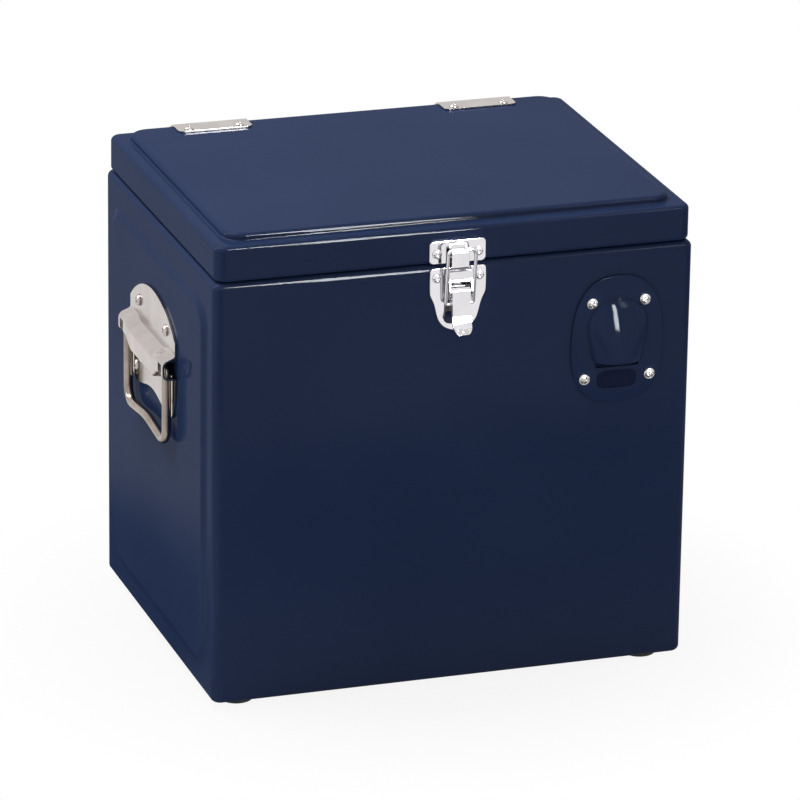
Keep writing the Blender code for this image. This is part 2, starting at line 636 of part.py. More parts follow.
for side, side_name in SIDES:
    hx = side * HINGE_X
    across = frame((0, 1, 0), (0, 0, 1), (hx, 0.0, 0.0))
    origin = (hx, HINGE_Y, HINGE_Z)
    back_face = frame((-1, 0, 0), (0, 0, 1), (hx, BACK, SEAM))
    leaf = flat_plate("hinge_body_leaf_" + side_name,
                      rounded_rectangle(-half, half, -LEAF_DROP - LEAF_HEIGHT, -LEAF_DROP, 3.0, 4),
                      FIT_GAP, PLATE_FRONT, back_face, NICKEL)
    strap = flat_plate("hinge_lid_leaf_" + side_name, strap_outline, -half, half, across, NICKEL, origin)
    for end_name, low, high in (("a", -half, -middle_half - KNUCKLE_GAP),
                                ("b", middle_half + KNUCKLE_GAP, half)):
        tag = side_name + "_" + end_name
        cut(leaf, flat_plate("leaf_web_" + tag, leaf_web, low + WEB_SETBACK, high - WEB_SETBACK,
                             across, None, cutter=True), "UNION")
        cut(leaf, flat_plate("leaf_knuckle_" + tag, knuckle, low, high, across, None, cutter=True), "UNION")
    cut(strap, flat_plate("strap_tongue_" + side_name, tongue, WEB_SETBACK - middle_half,
                          middle_half - WEB_SETBACK, across, None, cutter=True), "UNION")
    cut(strap, flat_plate("strap_knuckle_" + side_name, knuckle, -middle_half, middle_half,
                          across, None, cutter=True), "UNION")
    bore = flat_plate("hinge_bore_" + side_name, circle(HINGE_PIN_RADIUS + FIT_GAP, 12, HINGE_Y, HINGE_Z),
                      -half - 2.0, half + 2.0, across, None, cutter=True)
    for piece in (leaf, strap):
        cut(piece, bore)
        cut(piece, ALL_HOLES)
    turned("hinge_pin_" + side_name, [(HINGE_PIN_RADIUS * 0.7, half + 0.6), (HINGE_PIN_RADIUS, half),
                                      (HINGE_PIN_RADIUS, -half), (HINGE_PIN_RADIUS * 0.7, -half - 0.6)],
           STEEL, origin, (1, 0, 0))

# Side handles: pressed plate with a cross channel, and a wire bail whose bar turns in the channel
slot_radius = BAIL_WIRE_RADIUS + FIT_GAP
channel_radius = slot_radius + SHEET
dome_side = HANDLE_DOME_RISE * 0.28
dome = []
for k in range(17):
    angle = math.pi * k / 16
    dome.append((HANDLE_HALF_WIDTH * math.cos(angle),
                 dome_side + (HANDLE_DOME_RISE - dome_side) * math.sin(angle)))
leg = []
for across_share, drop_share in ((1.0, 0.12), (0.989, 0.36), (0.956, 0.6), (0.909, 0.8),
                                 (0.845, 0.934), (0.764, 1.0), (0.673, 0.994)):
    leg.append((-HANDLE_HALF_WIDTH * across_share, -HANDLE_LEG_DROP * drop_share))
arch = []
for k in range(1, 6):
    share = k / 6
    fall = HANDLE_ARCH_DROP + (
        HANDLE_LEG_DROP - HANDLE_ARCH_DROP) * (1.0 - math.sin(math.pi * share / 2)) ** 1.3
    arch.append((-HANDLE_HALF_WIDTH * 0.673 * (1.0 - share), -fall))
side_half = leg + arch
plate_outline = dome + side_half + [(0.0, -HANDLE_ARCH_DROP)] + [(-u, v) for u, v in reversed(side_half)]


def bead(radius):
    """Half round of the channel in height and distance out."""
    return [(-radius * math.cos(math.pi * k / 8), BAIL_AXIS_OUT + radius * math.sin(math.pi * k / 8))
            for k in range(9)]


# The flat dome dips into the channel's upper flank, which is steepest at the middle
CHANNEL_HALF = HANDLE_HALF_WIDTH - 0.8
channel_loops = {-1: [], 1: []}
for k in range(9):
    share = k / 4 - 1
    u = CHANNEL_HALF * share
    upper = channel_radius * (1.24 + 1.48 * abs(share) ** 1.5)
    lower = channel_radius * 1.24
    section = [(-lower, HANDLE_BACK + SHEET / 3), (-lower, HANDLE_FRONT)] + bead(channel_radius)
    section += [(channel_radius + (upper - channel_radius) * 0.45,
                 HANDLE_FRONT + (BAIL_AXIS_OUT - HANDLE_FRONT) * 0.42)]
    section += [(upper, HANDLE_FRONT), (upper, HANDLE_BACK + SHEET / 3)]
    for side in (-1, 1):
        channel_loops[side].append([side_point(side, u, v, out) for v, out in section])
slot_outline = [(-slot_radius, HANDLE_BACK - 1.0)] + bead(slot_radius) + [(slot_radius, HANDLE_BACK - 1.0)]
arm_slot_half = BAIL_WIRE_RADIUS + ARM_SLOT_CLEARANCE
arm_slot = rounded_rectangle(-channel_radius * 3, slot_radius + ARM_SLOT_CLEARANCE * 1.5,
                             HANDLE_FRONT + BAIL_CLEARANCE / 3, BAIL_AXIS_OUT + channel_radius * 2, 0.2, 1)

bail_corners = [(-BAIL_HALF_SPAN, 0.0), (BAIL_HALF_SPAN, 0.0), (BAIL_HALF_SPAN, -BAIL_DROP),
                (0.0, BAIL_BOW - BAIL_DROP), (-BAIL_HALF_SPAN, -BAIL_DROP)]
bail_plane = rounded_path(bail_corners, [BAIL_ELBOW, BAIL_ELBOW, BAIL_CORNER, BAIL_BOW * 18, BAIL_CORNER],
                          True, 5)

for side, side_name in SIDES:
    face = frame((0, side, 0), (0, 0, 1), side_point(side, 0.0, 0.0, 0.0))
    along = frame((0, 0, 1), (side, 0, 0), side_point(side, 0.0, 0.0, 0.0))
    plate = flat_plate("handle_plate_" + side_name, plate_outline, HANDLE_BACK, HANDLE_FRONT, face, NICKEL)
    cut(plate, loft("handle_channel_" + side_name, channel_loops[side], None, cutter=True), "UNION")
    cut(plate, flat_plate("handle_slot_" + side_name, slot_outline, -HANDLE_HALF_WIDTH - 2.0,
                          HANDLE_HALF_WIDTH + 2.0, along, None, cutter=True))
    for end_name, end in (("a", -1), ("b", 1)):
        low, high = end * BAIL_HALF_SPAN - arm_slot_half, end * BAIL_HALF_SPAN + arm_slot_half
        cut(plate, flat_plate(f"arm_slot_{side_name}_{end_name}", arm_slot, low, high,
                              along, None, cutter=True))
    cut(plate, ALL_HOLES)
    bail_path = [side_point(side, u, v, BAIL_AXIS_OUT) for u, v in bail_plane]
    bent_wire("handle_bail_" + side_name, bail_path, BAIL_WIRE_RADIUS, True, NICKEL,
              side_point(side, 0.0, 0.0, BAIL_AXIS_OUT))

# Bottle opener: egg-shaped plate with a hollow hood that bites under the cap
EGG_POWER = 2.5
HOOD_POWER = 2.4
opener_outline = []
for k in range(32):
    ca, sa = math.cos(math.pi * k / 16), math.sin(math.pi * k / 16)
    flat = (abs(ca) ** EGG_POWER + abs(sa) ** EGG_POWER) ** (-1 / EGG_POWER)
    opener_outline.append((OPENER_HALF_WIDTH * ca * flat * (1.0 - 0.05 * sa),
                           OPENER_HALF_HEIGHT * sa * flat))


def hood(name, rows, back):
    """Arched sections down the opener, from (height, half width, distance out)."""
    loops = []
    for z, half_width, out in rows:
        loop = []
        for k in range(13):
            ca, sa = math.cos(math.pi * k / 12), math.sin(math.pi * k / 12)
            flat = (abs(ca) ** HOOD_POWER + abs(sa) ** HOOD_POWER) ** (-1 / HOOD_POWER)
            loop.append(front_point(OPENER_X + half_width * ca * flat, z - OPENER_DROP,
                                    back + (out - back) * sa * flat))
        loops.append(loop)
    return loft(name, loops, None, cutter=True)


# Shares of the hood's height from its top, of its half width and of its reach
HOOD_FORM = ((0.0, 0.14, 0.15), (0.03, 0.33, 0.21), (0.07, 0.53, 0.31), (0.15, 0.74, 0.46),
             (0.25, 0.91, 0.61), (0.37, 1.0, 0.75), (0.53, 1.0, 0.87), (0.71, 0.91, 0.96),
             (0.87, 0.81, 1.0), (0.97, 0.76, 0.99), (1.0, 0.73, 0.95))
hood_height = HOOD_TOP + HOOD_LIP
hood_rows = [(HOOD_TOP - hood_height * drop, HOOD_HALF_WIDTH * wide, HOOD_OUT * reach)
             for drop, wide, reach in HOOD_FORM]
cave_rows = [(z, half_width - HOOD_WALL, out - HOOD_WALL) for z, half_width, out in hood_rows[4:-2]]
cave_rows = [(cave_rows[0][0] + 2.5, cave_rows[0][1] * 0.5, cave_rows[0][2] * 0.6)] + cave_rows
cave_rows += [(-HOOD_LIP - 2.0, cave_rows[-1][1] - 1.0, cave_rows[-1][2])]
opener = flat_plate("opener_plate", opener_outline, FIT_GAP, PLATE_FRONT, OPENER_FACE, NAVY)
cut(opener, hood("opener_hood", hood_rows, FIT_GAP + SHEET / 2), "UNION")
cut(opener, hood("opener_cave", cave_rows, PLATE_FRONT + 0.1))
dimple_loops = []
for depth_angle in (0.0, 0.35, 0.7, 1.05, 1.4):
    shrink = math.cos(depth_angle)
    out = PLATE_FRONT + 0.4 - SHEET * 0.8 * math.sin(depth_angle)
    dimple_loops.append([front_point(OPENER_X + OPENER_HALF_WIDTH * 0.44 * shrink * a,
                                     OPENER_HALF_HEIGHT * (0.137 * shrink * b - 0.634) - OPENER_DROP, out)
                         for a, b in circle(1.0, 16)])
cut(opener, loft("opener_dimple", dimple_loops, None, cutter=True))
cut(opener, ALL_HOLES)

# Draw latch. Its shapes are drawn at home, hooked over the strike, and rest a little way open.
ear_outer = EAR_INNER + EAR_THICKNESS
loop_half = ear_outer + LOOP_SIDE_CLEARANCE + LOOP_WIRE_RADIUS
hook_half = loop_half - LOOP_CORNER - FIT_GAP
strike_low = LATCH_SEAM_GAP - LID_GAP
strike_high = strike_low + STRIKE_HEIGHT
strike_back = FIT_GAP - LID_INSET
strike_front = PLATE_FRONT - LID_INSET
strike = flat_plate("latch_strike",
                    rounded_rectangle(-LATCH_HALF_WIDTH, LATCH_HALF_WIDTH, strike_low, strike_high, 3.0, 4),
                    strike_back, strike_front, FRONT_FACE, CHROME, HINGE_LINE)
hook_root = strike_front - SHEET / 2
hook_profile = [(hook_root, HOOK_RISE + 3.6), (hook_root + 0.9, HOOK_RISE + 1.8),
                (hook_root + 2.4, HOOK_RISE + 0.3), (HOOK_OUT - 1.9, HOOK_RISE - 0.2),
                (HOOK_OUT - 0.6, HOOK_RISE - 0.8), (HOOK_OUT, HOOK_RISE - 2.0), (HOOK_OUT, -0.8),
                (HOOK_OUT - EAR_THICKNESS, -0.8), (HOOK_OUT - EAR_THICKNESS, HOOK_RISE - 2.4),
                (HOOK_OUT - 1.9, HOOK_RISE - 1.7), (hook_root + 3.0, HOOK_RISE - 1.4),
                (hook_root, HOOK_RISE - 0.6)]
cut(strike, flat_plate("strike_hook", hook_profile, -hook_half, hook_half, LATCH_SIDE, None, cutter=True),
    "UNION")
cut(strike, ALL_HOLES)

SHIELD = ((0.875, 0.0), (0.965, 0.018), (1.0, 0.056), (1.0, 0.378), (0.96, 0.444), (0.87, 0.522),
          (0.795, 0.622), (0.75, 0.722), (0.67, 0.833), (0.5, 0.929), (0.25, 0.985))
base_half = [(LATCH_HALF_WIDTH * wide, -LATCH_SEAM_GAP - LATCH_BASE_HEIGHT * drop) for wide, drop in SHIELD]
base_outline = base_half + [(0.0, -LATCH_SEAM_GAP - LATCH_BASE_HEIGHT)] + [
    (-x, z) for x, z in reversed(base_half)]
latch_base = flat_plate("latch_base", base_outline, FIT_GAP, PLATE_FRONT, FRONT_FACE, CHROME)
ear_back = FIT_GAP + SHEET / 2
ear_top = -LATCH_SEAM_GAP * 1.73
web_top = [(LEVER_AXIS_OUT * 1.07, ear_top), (LEVER_AXIS_OUT * 1.23, ear_top - EAR_THICKNESS * 0.67),
           (LEVER_AXIS_OUT * 1.3, ear_top - EAR_THICKNESS * 4.5)]
ear_round = []
for degrees in range(20, -101, -20):
    angle = math.radians(degrees)
    ear_round.append((LEVER_AXIS_OUT + LEVER_KNUCKLE_RADIUS * 1.15 * math.cos(angle),
                      -LEVER_AXIS_DROP + LEVER_KNUCKLE_RADIUS * 1.3 * math.sin(angle)))
ear_profile = [(ear_back, ear_top)] + web_top + ear_round + [
    (ear_back, -LEVER_AXIS_DROP - LEVER_KNUCKLE_RADIUS * 1.45)]
web_half = EAR_INNER + EAR_THICKNESS * 0.42
web_profile = web_top + [(LEVER_AXIS_OUT * 1.38, ear_top - EAR_THICKNESS * 6.2)]
web_profile += [(out - EAR_THICKNESS, z) for out, z in reversed(web_profile)]
for ear_name, low, high in (("right", -ear_outer, -EAR_INNER), ("left", EAR_INNER, ear_outer)):
    cut(latch_base, flat_plate("latch_ear_" + ear_name, ear_profile, low, high,
                               LATCH_SIDE, None, cutter=True), "UNION")
cut(latch_base, flat_plate("latch_web", web_profile, -web_half, web_half, LATCH_SIDE, None, cutter=True),
    "UNION")

lever_axis = (LEVER_AXIS_OUT, -LEVER_AXIS_DROP)
LEVER_ORIGIN = front_point(0.0, -LEVER_AXIS_DROP, LEVER_AXIS_OUT)
pin_hole = flat_plate("latch_pin_hole", circle(LATCH_PIN_RADIUS + FIT_GAP, 16, *lever_axis), -12.0, 12.0,
                      LATCH_SIDE, None, cutter=True)
cut(latch_base, pin_hole)
cut(latch_base, ALL_HOLES)
turned("latch_pin", [(LATCH_PIN_RADIUS, ear_outer + 0.1), (LATCH_PIN_RADIUS, -ear_outer - 0.1)],
       STEEL, LEVER_ORIGIN, (1, 0, 0))


def turned_out(points, degrees):
    """Turn latch points outward about the lever axis."""
    angle = math.radians(degrees)
    moved = []
    for out, z in points:
        a, b = out - LEVER_AXIS_OUT, z + LEVER_AXIS_DROP
        moved.append((LEVER_AXIS_OUT + a * math.cos(angle) - b * math.sin(angle),
                      -LEVER_AXIS_DROP + b * math.cos(angle) + a * math.sin(angle)))
    return moved


lever_round = []
for degrees in range(0, 181, 20):
    angle = math.radians(degrees)
    lever_round.append((LEVER_AXIS_OUT + LEVER_KNUCKLE_RADIUS * math.cos(angle),
                        -LEVER_AXIS_DROP + LEVER_KNUCKLE_RADIUS * math.sin(angle)))
lever_back = PLATE_FRONT + FIT_GAP
boss = LOOP_WIRE_RADIUS + FIT_GAP + 0.6
lever_tip = -LEVER_AXIS_DROP - LEVER_LENGTH
lever_bend = -LEVER_AXIS_DROP - LEVER_LENGTH * 0.66
lever_face = LEVER_AXIS_OUT + LEVER_KNUCKLE_RADIUS
lever_home = lever_round + [(lever_back, -LOOP_AXIS_DROP + boss + 1.0),
                            (lever_back, -LOOP_AXIS_DROP - boss + 0.4),
                            (LOOP_AXIS_OUT - 0.6, -LOOP_AXIS_DROP - boss - 0.6),
                            (lever_face - 3.6, lever_bend + 7.0),
                            (lever_face - 3.0, lever_bend), (lever_face - 0.8, lever_tip + 4.3),
                            (lever_face + 1.0, lever_tip), (lever_face + 2.9, lever_tip + 0.6),
                            (lever_face + 1.0, lever_tip + 5.7), (lever_face - 0.7, lever_bend + 0.5),
                            (lever_face - 0.2, lever_bend + 8.5), (lever_face, -LEVER_AXIS_DROP - 5.0)]
lever = flat_plate("latch_lever", turned_out(lever_home, LATCH_REST_TURN),
                   -LEVER_HALF_WIDTH, LEVER_HALF_WIDTH, LATCH_SIDE, CHROME, LEVER_ORIGIN)
cut(lever, pin_hole)
loop_axis = turned_out([(LOOP_AXIS_OUT, -LOOP_AXIS_DROP)], LATCH_REST_TURN)[0]
cut(lever, flat_plate("latch_loop_hole", circle(LOOP_WIRE_RADIUS + FIT_GAP, 14, *loop_axis), -12.0, 12.0,
                      LATCH_SIDE, None, cutter=True))
loop_rise = HOOK_RISE + HOOK_GAP + LOOP_WIRE_RADIUS
home_rise = Vector((LOOP_BAR_OUT - LOOP_AXIS_OUT, loop_rise + LOOP_AXIS_DROP))
lean = math.radians(LATCH_REST_TURN)
rise_out = home_rise.x * math.cos(lean) + home_rise.y * math.sin(lean)
rise_up = home_rise.y * math.cos(lean) - home_rise.x * math.sin(lean)
reach = home_rise.length
loop_end = LEVER_HALF_WIDTH * 0.46
loop_corners = [(-loop_end, 0.0), (-loop_half, 0.0), (-loop_half, reach),
                (loop_half, reach), (loop_half, 0.0), (loop_end, 0.0)]
loop_plane = rounded_path(loop_corners, [0.0, LOOP_FOOT, LOOP_CORNER, LOOP_CORNER, LOOP_FOOT, 0.0],
                          False, 4)
loop_path = [front_point(x, loop_axis[1] + s * rise_up / reach, loop_axis[0] + s * rise_out / reach)
             for x, s in loop_plane]
bent_wire("latch_loop", loop_path, LOOP_WIRE_RADIUS, False, CHROME,
          front_point(0.0, loop_axis[1], loop_axis[0]), 1)
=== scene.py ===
"""Looks of the cooler chest: painted shell and lid, pressed handles, draw latch, opener and fasteners."""
import json
import math

import bmesh
import bpy
from mathutils import Matrix, Vector


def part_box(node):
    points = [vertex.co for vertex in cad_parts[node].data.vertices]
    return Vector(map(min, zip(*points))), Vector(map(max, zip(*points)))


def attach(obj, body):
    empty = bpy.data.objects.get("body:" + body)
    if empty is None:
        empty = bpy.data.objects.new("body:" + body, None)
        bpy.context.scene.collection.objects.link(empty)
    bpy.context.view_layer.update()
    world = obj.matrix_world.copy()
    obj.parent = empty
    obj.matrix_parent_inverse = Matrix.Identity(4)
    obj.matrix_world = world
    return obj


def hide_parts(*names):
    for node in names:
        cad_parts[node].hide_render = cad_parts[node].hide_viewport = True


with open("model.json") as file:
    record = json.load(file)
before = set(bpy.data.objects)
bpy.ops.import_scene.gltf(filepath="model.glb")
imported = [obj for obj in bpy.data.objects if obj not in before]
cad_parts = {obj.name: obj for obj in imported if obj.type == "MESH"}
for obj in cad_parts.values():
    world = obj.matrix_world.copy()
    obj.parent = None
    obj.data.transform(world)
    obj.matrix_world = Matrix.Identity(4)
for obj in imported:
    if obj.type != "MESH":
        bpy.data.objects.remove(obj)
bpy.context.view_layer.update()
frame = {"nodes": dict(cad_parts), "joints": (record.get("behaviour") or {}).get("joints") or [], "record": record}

# Sizes in millimetres, taken from the frame where it shows them
MM = 0.001


def frame_box(node):
    """Lowest and highest corner of a node, in millimetres."""
    low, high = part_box(node)
    return low / MM, high / MM


shell_low, shell_high = frame_box("outer_shell")
lid_low, lid_high = frame_box("lid_shell")
tub_low, tub_high = frame_box("inner_tub")
plate_low, plate_high = frame_box("handle_plate_right")
bail_low, bail_high = frame_box("handle_bail_right")
strap_low, strap_high = frame_box("hinge_lid_leaf_right")
opener_low, opener_high = frame_box("opener_plate")
base_low, base_high = frame_box("latch_base")
strike_low, strike_high = frame_box("latch_strike")
lever_low = frame_box("latch_lever")[0]
foot_low, foot_high = frame_box("foot_front_right")

SHEET = 1.5
FIT_GAP = 0.3
PANEL_RAISE = 2.5
WIDTH = shell_high.x * 2 - PANEL_RAISE * 2
FRONT = shell_low.y
BACK = shell_high.y
MIDDLE = (FRONT + BACK) / 2
SHELL_BOTTOM = shell_low.z
SEAM = shell_high.z
LID_INSET = lid_low.y - FRONT
SKIRT_BOTTOM = lid_low.z
LID_TOP = lid_high.z
LID_PANEL = 5.0
FLANGE = LID_TOP - LID_PANEL
PLATE_FRONT = FIT_GAP + SHEET


def joint(name):
    """Axis point, in millimetres, of one of the frame's joints."""
    found = next(item for item in frame["joints"] if item["name"] == name)
    return Vector(found["pos_m"]) / MM


HINGE_AXIS = joint("lid_hinge")
LEVER_AXIS = joint("latch_lever_swing")
LOOP_AXIS = joint("latch_loop_swing")
BAIL_AXIS = joint("right_bail_swing")


# Mesh helpers


def new_piece(name, mesh):
    item = bpy.data.objects.new(name, mesh)
    bpy.context.scene.collection.objects.link(item)
    return item


def skin_piece(name, skin):
    """Piece from a finished skin, its faces turned outward."""
    bmesh.ops.recalc_face_normals(skin, faces=skin.faces)
    mesh = bpy.data.meshes.new(name)
    skin.to_mesh(mesh)
    skin.free()
    return new_piece(name, mesh)


def loft(name, loops):
    """Skin through sections of equal point count, given in millimetres and capped at both ends."""
    skin = bmesh.new()
    rows = [[skin.verts.new(Vector(point) * MM) for point in loop] for loop in loops]
    for row, after in zip(rows, rows[1:]):
        for k in range(len(row)):
            follow = (k + 1) % len(row)
            skin.faces.new((row[k], row[follow], after[follow], after[k]))
    skin.faces.new(rows[0])
    skin.faces.new(rows[-1])
    return skin_piece(name, skin)


def sheet(name, rows, thickness):
    """Pressed sheet through rows of mid-surface points, thickened evenly."""
    skin = bmesh.new()
    grid = [[skin.verts.new(Vector(point) * MM) for point in row] for row in rows]
    for row, after in zip(grid, grid[1:]):
        for k in range(len(row) - 1):
            skin.faces.new((row[k], row[k + 1], after[k + 1], after[k]))
    item = skin_piece(name, skin)
    thick = item.modifiers.new("thick", "SOLIDIFY")
    thick.thickness = thickness * MM
    thick.offset = 0.0
    settle(item)
    return item


def place(across, up, start):
    """Matrix from outline space (across, up, outward) to the chest's frame."""
    outward = Vector(across).cross(Vector(up))
    turn = Matrix((Vector(across), Vector(up), outward)).transposed().to_4x4()
    return Matrix.Translation(Vector(start) * MM) @ turn


def drawn_mesh(curve):
    """Mesh of a curve with its fill, extrusion and bevel."""
    drawn = new_piece(curve.name, curve)
    view = bpy.context.evaluated_depsgraph_get()
    mesh = bpy.data.meshes.new_from_object(drawn.evaluated_get(view))
    bpy.data.objects.remove(drawn, do_unlink=True)
    return mesh


def flat_plate(name, outline, low, high, where):
    """Plate cut to an outline, between two heights above its frame."""
    curve = bpy.data.curves.new(name + "_outline", "CURVE")
    curve.dimensions = "2D"
    curve.fill_mode = "BOTH"
    curve.extrude = (high - low) / 2 * MM
    spline = curve.splines.new("POLY")
    spline.points.add(len(outline) - 1)
    for point, (a, b) in zip(spline.points, outline):
        point.co = (a * MM, b * MM, 0.0, 1.0)
    spline.use_cyclic_u = True
    mesh = drawn_mesh(curve)
    welded = bmesh.new()
    welded.from_mesh(mesh)
    bmesh.ops.remove_doubles(welded, verts=welded.verts, dist=1e-6)
    bmesh.ops.dissolve_limit(welded, angle_limit=0.01, verts=welded.verts, edges=welded.edges)
    bmesh.ops.recalc_face_normals(welded, faces=welded.faces)
    welded.to_mesh(mesh)
    welded.free()
    mesh.transform(where @ Matrix.Translation((0.0, 0.0, (low + high) / 2 * MM)))
    return new_piece(name, mesh)


def turned(name, profile, spot, direction, steps=48):
    """Turned piece: (radius, height) pairs, top to bottom, spun about an axis through a spot."""
    angles = [2 * math.pi * k / steps for k in range(steps)]
    loops = []
    for radius, height in profile:
        loops.append([(radius * math.cos(angle), radius * math.sin(angle), height) for angle in angles])
    item = loft(name, loops)
    turn = Vector(direction).to_track_quat("Z", "X").to_matrix().to_4x4()
    item.data.transform(Matrix.Translation(Vector(spot) * MM) @ turn)
    return item


def wire(name, path, radius, closed):
    """Round wire along a path of points."""
    curve = bpy.data.curves.new(name + "_path", "CURVE")
    curve.dimensions = "3D"
    curve.bevel_depth = radius * MM
    curve.bevel_resolution = 6
    curve.use_fill_caps = True
    spline = curve.splines.new("POLY")
    spline.points.add(len(path) - 1)
    for point, spot in zip(spline.points, path):
        point.co = (*(Vector(spot) * MM), 1.0)
    spline.use_cyclic_u = closed
    return new_piece(name, drawn_mesh(curve))


def join_solids(item, tools, operation):
    """Boolean with closed tools, which are then removed."""
    for tool in tools:
        step = item.modifiers.new(tool.name, "BOOLEAN")
        step.operation = operation
        step.solver = "EXACT"
        step.object = tool
    settle(item)
    for tool in tools:
        bpy.data.objects.remove(tool, do_unlink=True)


def settle(item):
    """Apply a piece's modifiers to its mesh."""
    view = bpy.context.evaluated_depsgraph_get()
    mesh = bpy.data.meshes.new_from_object(item.evaluated_get(view))
    item.modifiers.clear()
    item.data = mesh


def ease_edges(item, width, segments=3, degrees=35.0):
    """Round the edges that are sharper than an angle."""
    round_over = item.modifiers.new("ease", "BEVEL")
    round_over.width = width * MM
    round_over.segments = segments
    round_over.limit_method = "ANGLE"
    round_over.angle_limit = math.radians(degrees)
    round_over.use_clamp_overlap = True
    settle(item)


def dress(item, skin, body, nodes=(), sharp=40.0):
    """Smooth shading, finish, the body that carries the piece and the CAD nodes that it stands for."""
    mesh = item.data
    mesh.polygons.foreach_set("use_smooth", [True] * len(mesh.polygons))
    mesh.set_sharp_from_angle(angle=math.radians(sharp))
    even = item.modifiers.new("even_normals", "WEIGHTED_NORMAL")
    even.keep_sharp = True
    mesh.materials.clear()
    mesh.materials.append(skin.made)
    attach(item, body)
    if nodes:
        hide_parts(*nodes)
    return item


# Outline helpers


def rounded_rectangle(x0, x1, y0, y1, radius, segments=10):
    """Outline between two pairs of limits, with quarter-circle corners."""
    centres = ((x1 - radius, y1 - radius, 0), (x0 + radius, y1 - radius, 90),
               (x0 + radius, y0 + radius, 180), (x1 - radius, y0 + radius, 270))
    outline = []
    for cx, cy, start in centres:
        for k in range(segments + 1):
            angle = math.radians(start + 90.0 * k / segments)
            outline.append((cx + radius * math.cos(angle), cy + radius * math.sin(angle)))
    return outline


def level_loop(inset, z, radius, back_shift=0.0):
    """Rounded rectangle inset from the chest outline at one height."""
    outline = rounded_rectangle(-WIDTH / 2 + inset, WIDTH / 2 - inset,
                                FRONT + inset, BACK - inset + back_shift, radius)
    return [(x, y, z) for x, y in outline]


def arc(inset, z, radius, start, end, steps=10):
    """Inset and height pairs round an edge; 0 degrees points outward, 90 up."""
    pairs = []
    for k in range(steps + 1):
        angle = math.radians(start + (end - start) * k / steps)
        pairs.append((inset - radius * math.cos(angle), z + radius * math.sin(angle)))
    return pairs


def stacked(pairs, corner, shift=lambda inset, z: 0.0):
    """Sections of a drawn sheet or moulding, from its inset and height profile."""
    return [level_loop(inset, z, corner(inset), shift(inset, z)) for inset, z in pairs]


def circle(radius, count, cx=0.0, cy=0.0):
    turn = 2 * math.pi / count
    return [(cx + radius * math.cos(turn * k), cy + radius * math.sin(turn * k)) for k in range(count)]


def rounded_path(corners, radii, steps=8):
    """Plane path with circular corners."""
    total = len(corners)
    path = []
    for k in range(total):
        here = Vector(corners[k])
        if radii[k] <= 0.0:
            path.append(tuple(here))
            continue
        first = Vector(corners[k - 1]) - here
        second = Vector(corners[(k + 1) % total]) - here
        first.normalize()
        second.normalize()
        half = math.acos(max(-1.0, min(1.0, first.dot(second)))) / 2
        reach = radii[k] / math.tan(half)
        middle = here + (first + second).normalized() * (radii[k] / math.sin(half))
        start = here + first * reach - middle
        end = here + second * reach - middle
        sweep = start.angle_signed(end)
        for j in range(steps + 1):
            turn = -sweep * j / steps
            path.append((middle.x + start.x * math.cos(turn) - start.y * math.sin(turn),
                         middle.y + start.x * math.sin(turn) + start.y * math.cos(turn)))
    return path


def smooth_step(share):
    return share * share * (3.0 - 2.0 * share)


# Finishes, all procedural and in object space
NOISE_LOW = 0.3
NOISE_HIGH = 0.7


def linear(red, green, blue):
    """Colour on a scale of 0 to 255 as scene-linear values."""
    parts = []
    for value in (red, green, blue):
        share = value / 255.0
        parts.append(share / 12.92 if share <= 0.04045 else ((share + 0.055) / 1.055) ** 2.4)
    return (*parts, 1.0)


def set_inputs(node, values):
    """Set a node's inputs by name, where an underscore stands for a space."""
    for socket, value in values.items():
        node.inputs[socket.replace("_", " ")].default_value = value


def new_node(nodes, kind, **values):
    """New shader node with some of its inputs set."""
    made = nodes.new("ShaderNode" + kind)
    set_inputs(made, values)
    return made


class Finish:
    """A Principled material whose colour, roughness and bump come from noise."""

    def __init__(self, name, slot, metallic, **constants):
        self.slot = slot
        self.made = bpy.data.materials.new(name)
        self.made.use_nodes = True
        self.nodes = self.made.node_tree.nodes
        self.links = self.made.node_tree.links
        self.shader = self.nodes["Principled BSDF"]
        set_inputs(self.shader, {"Metallic": metallic, **constants})
        self.place = new_node(self.nodes, "TexCoord").outputs["Object"]

    def noise(self, scale, detail=2.0, stretch=(1.0, 1.0, 1.0)):
        """Noise at features per metre, drawn out along an axis by a small stretch factor."""
        mapping = new_node(self.nodes, "Mapping", Scale=stretch)
        self.links.new(self.place, mapping.inputs["Vector"])
        texture = new_node(self.nodes, "TexNoise", Scale=scale, Detail=detail)
        self.links.new(mapping.outputs["Vector"], texture.inputs["Vector"])
        return texture.outputs["Fac"]

    def colour(self, scale, first, second):
        """Base colour between two, given on the scale of 0 to 255."""
        fac = self.noise(scale)
        ramp = new_node(self.nodes, "ValToRGB")
        ramp.color_ramp.elements[0].position = NOISE_LOW
        ramp.color_ramp.elements[1].position = NOISE_HIGH
        ramp.color_ramp.elements[0].color = linear(*first)
        ramp.color_ramp.elements[1].color = linear(*second)
        self.links.new(fac, ramp.inputs["Fac"])
        self.links.new(ramp.outputs["Color"], self.shader.inputs["Base Color"])

    def roughness(self, scale, low, high):
        fac = self.noise(scale)
        spread = new_node(self.nodes, "MapRange", From_Min=NOISE_LOW, From_Max=NOISE_HIGH,
                          To_Min=low, To_Max=high)
        self.links.new(fac, spread.inputs["Value"])
        self.links.new(spread.outputs["Result"], self.shader.inputs["Roughness"])

    def bump(self, scale, strength, depth, coat=False, **grain):
        """Relief of a depth in millimetres, in the clear coat too where asked."""
        fac = self.noise(scale, **grain)
        relief = new_node(self.nodes, "Bump", Strength=strength, Distance=depth * MM)
        self.links.new(fac, relief.inputs["Height"])
        self.links.new(relief.outputs["Normal"], self.shader.inputs["Normal"])
        if coat:
            self.links.new(relief.outputs["Normal"], self.shader.inputs["Coat Normal"])


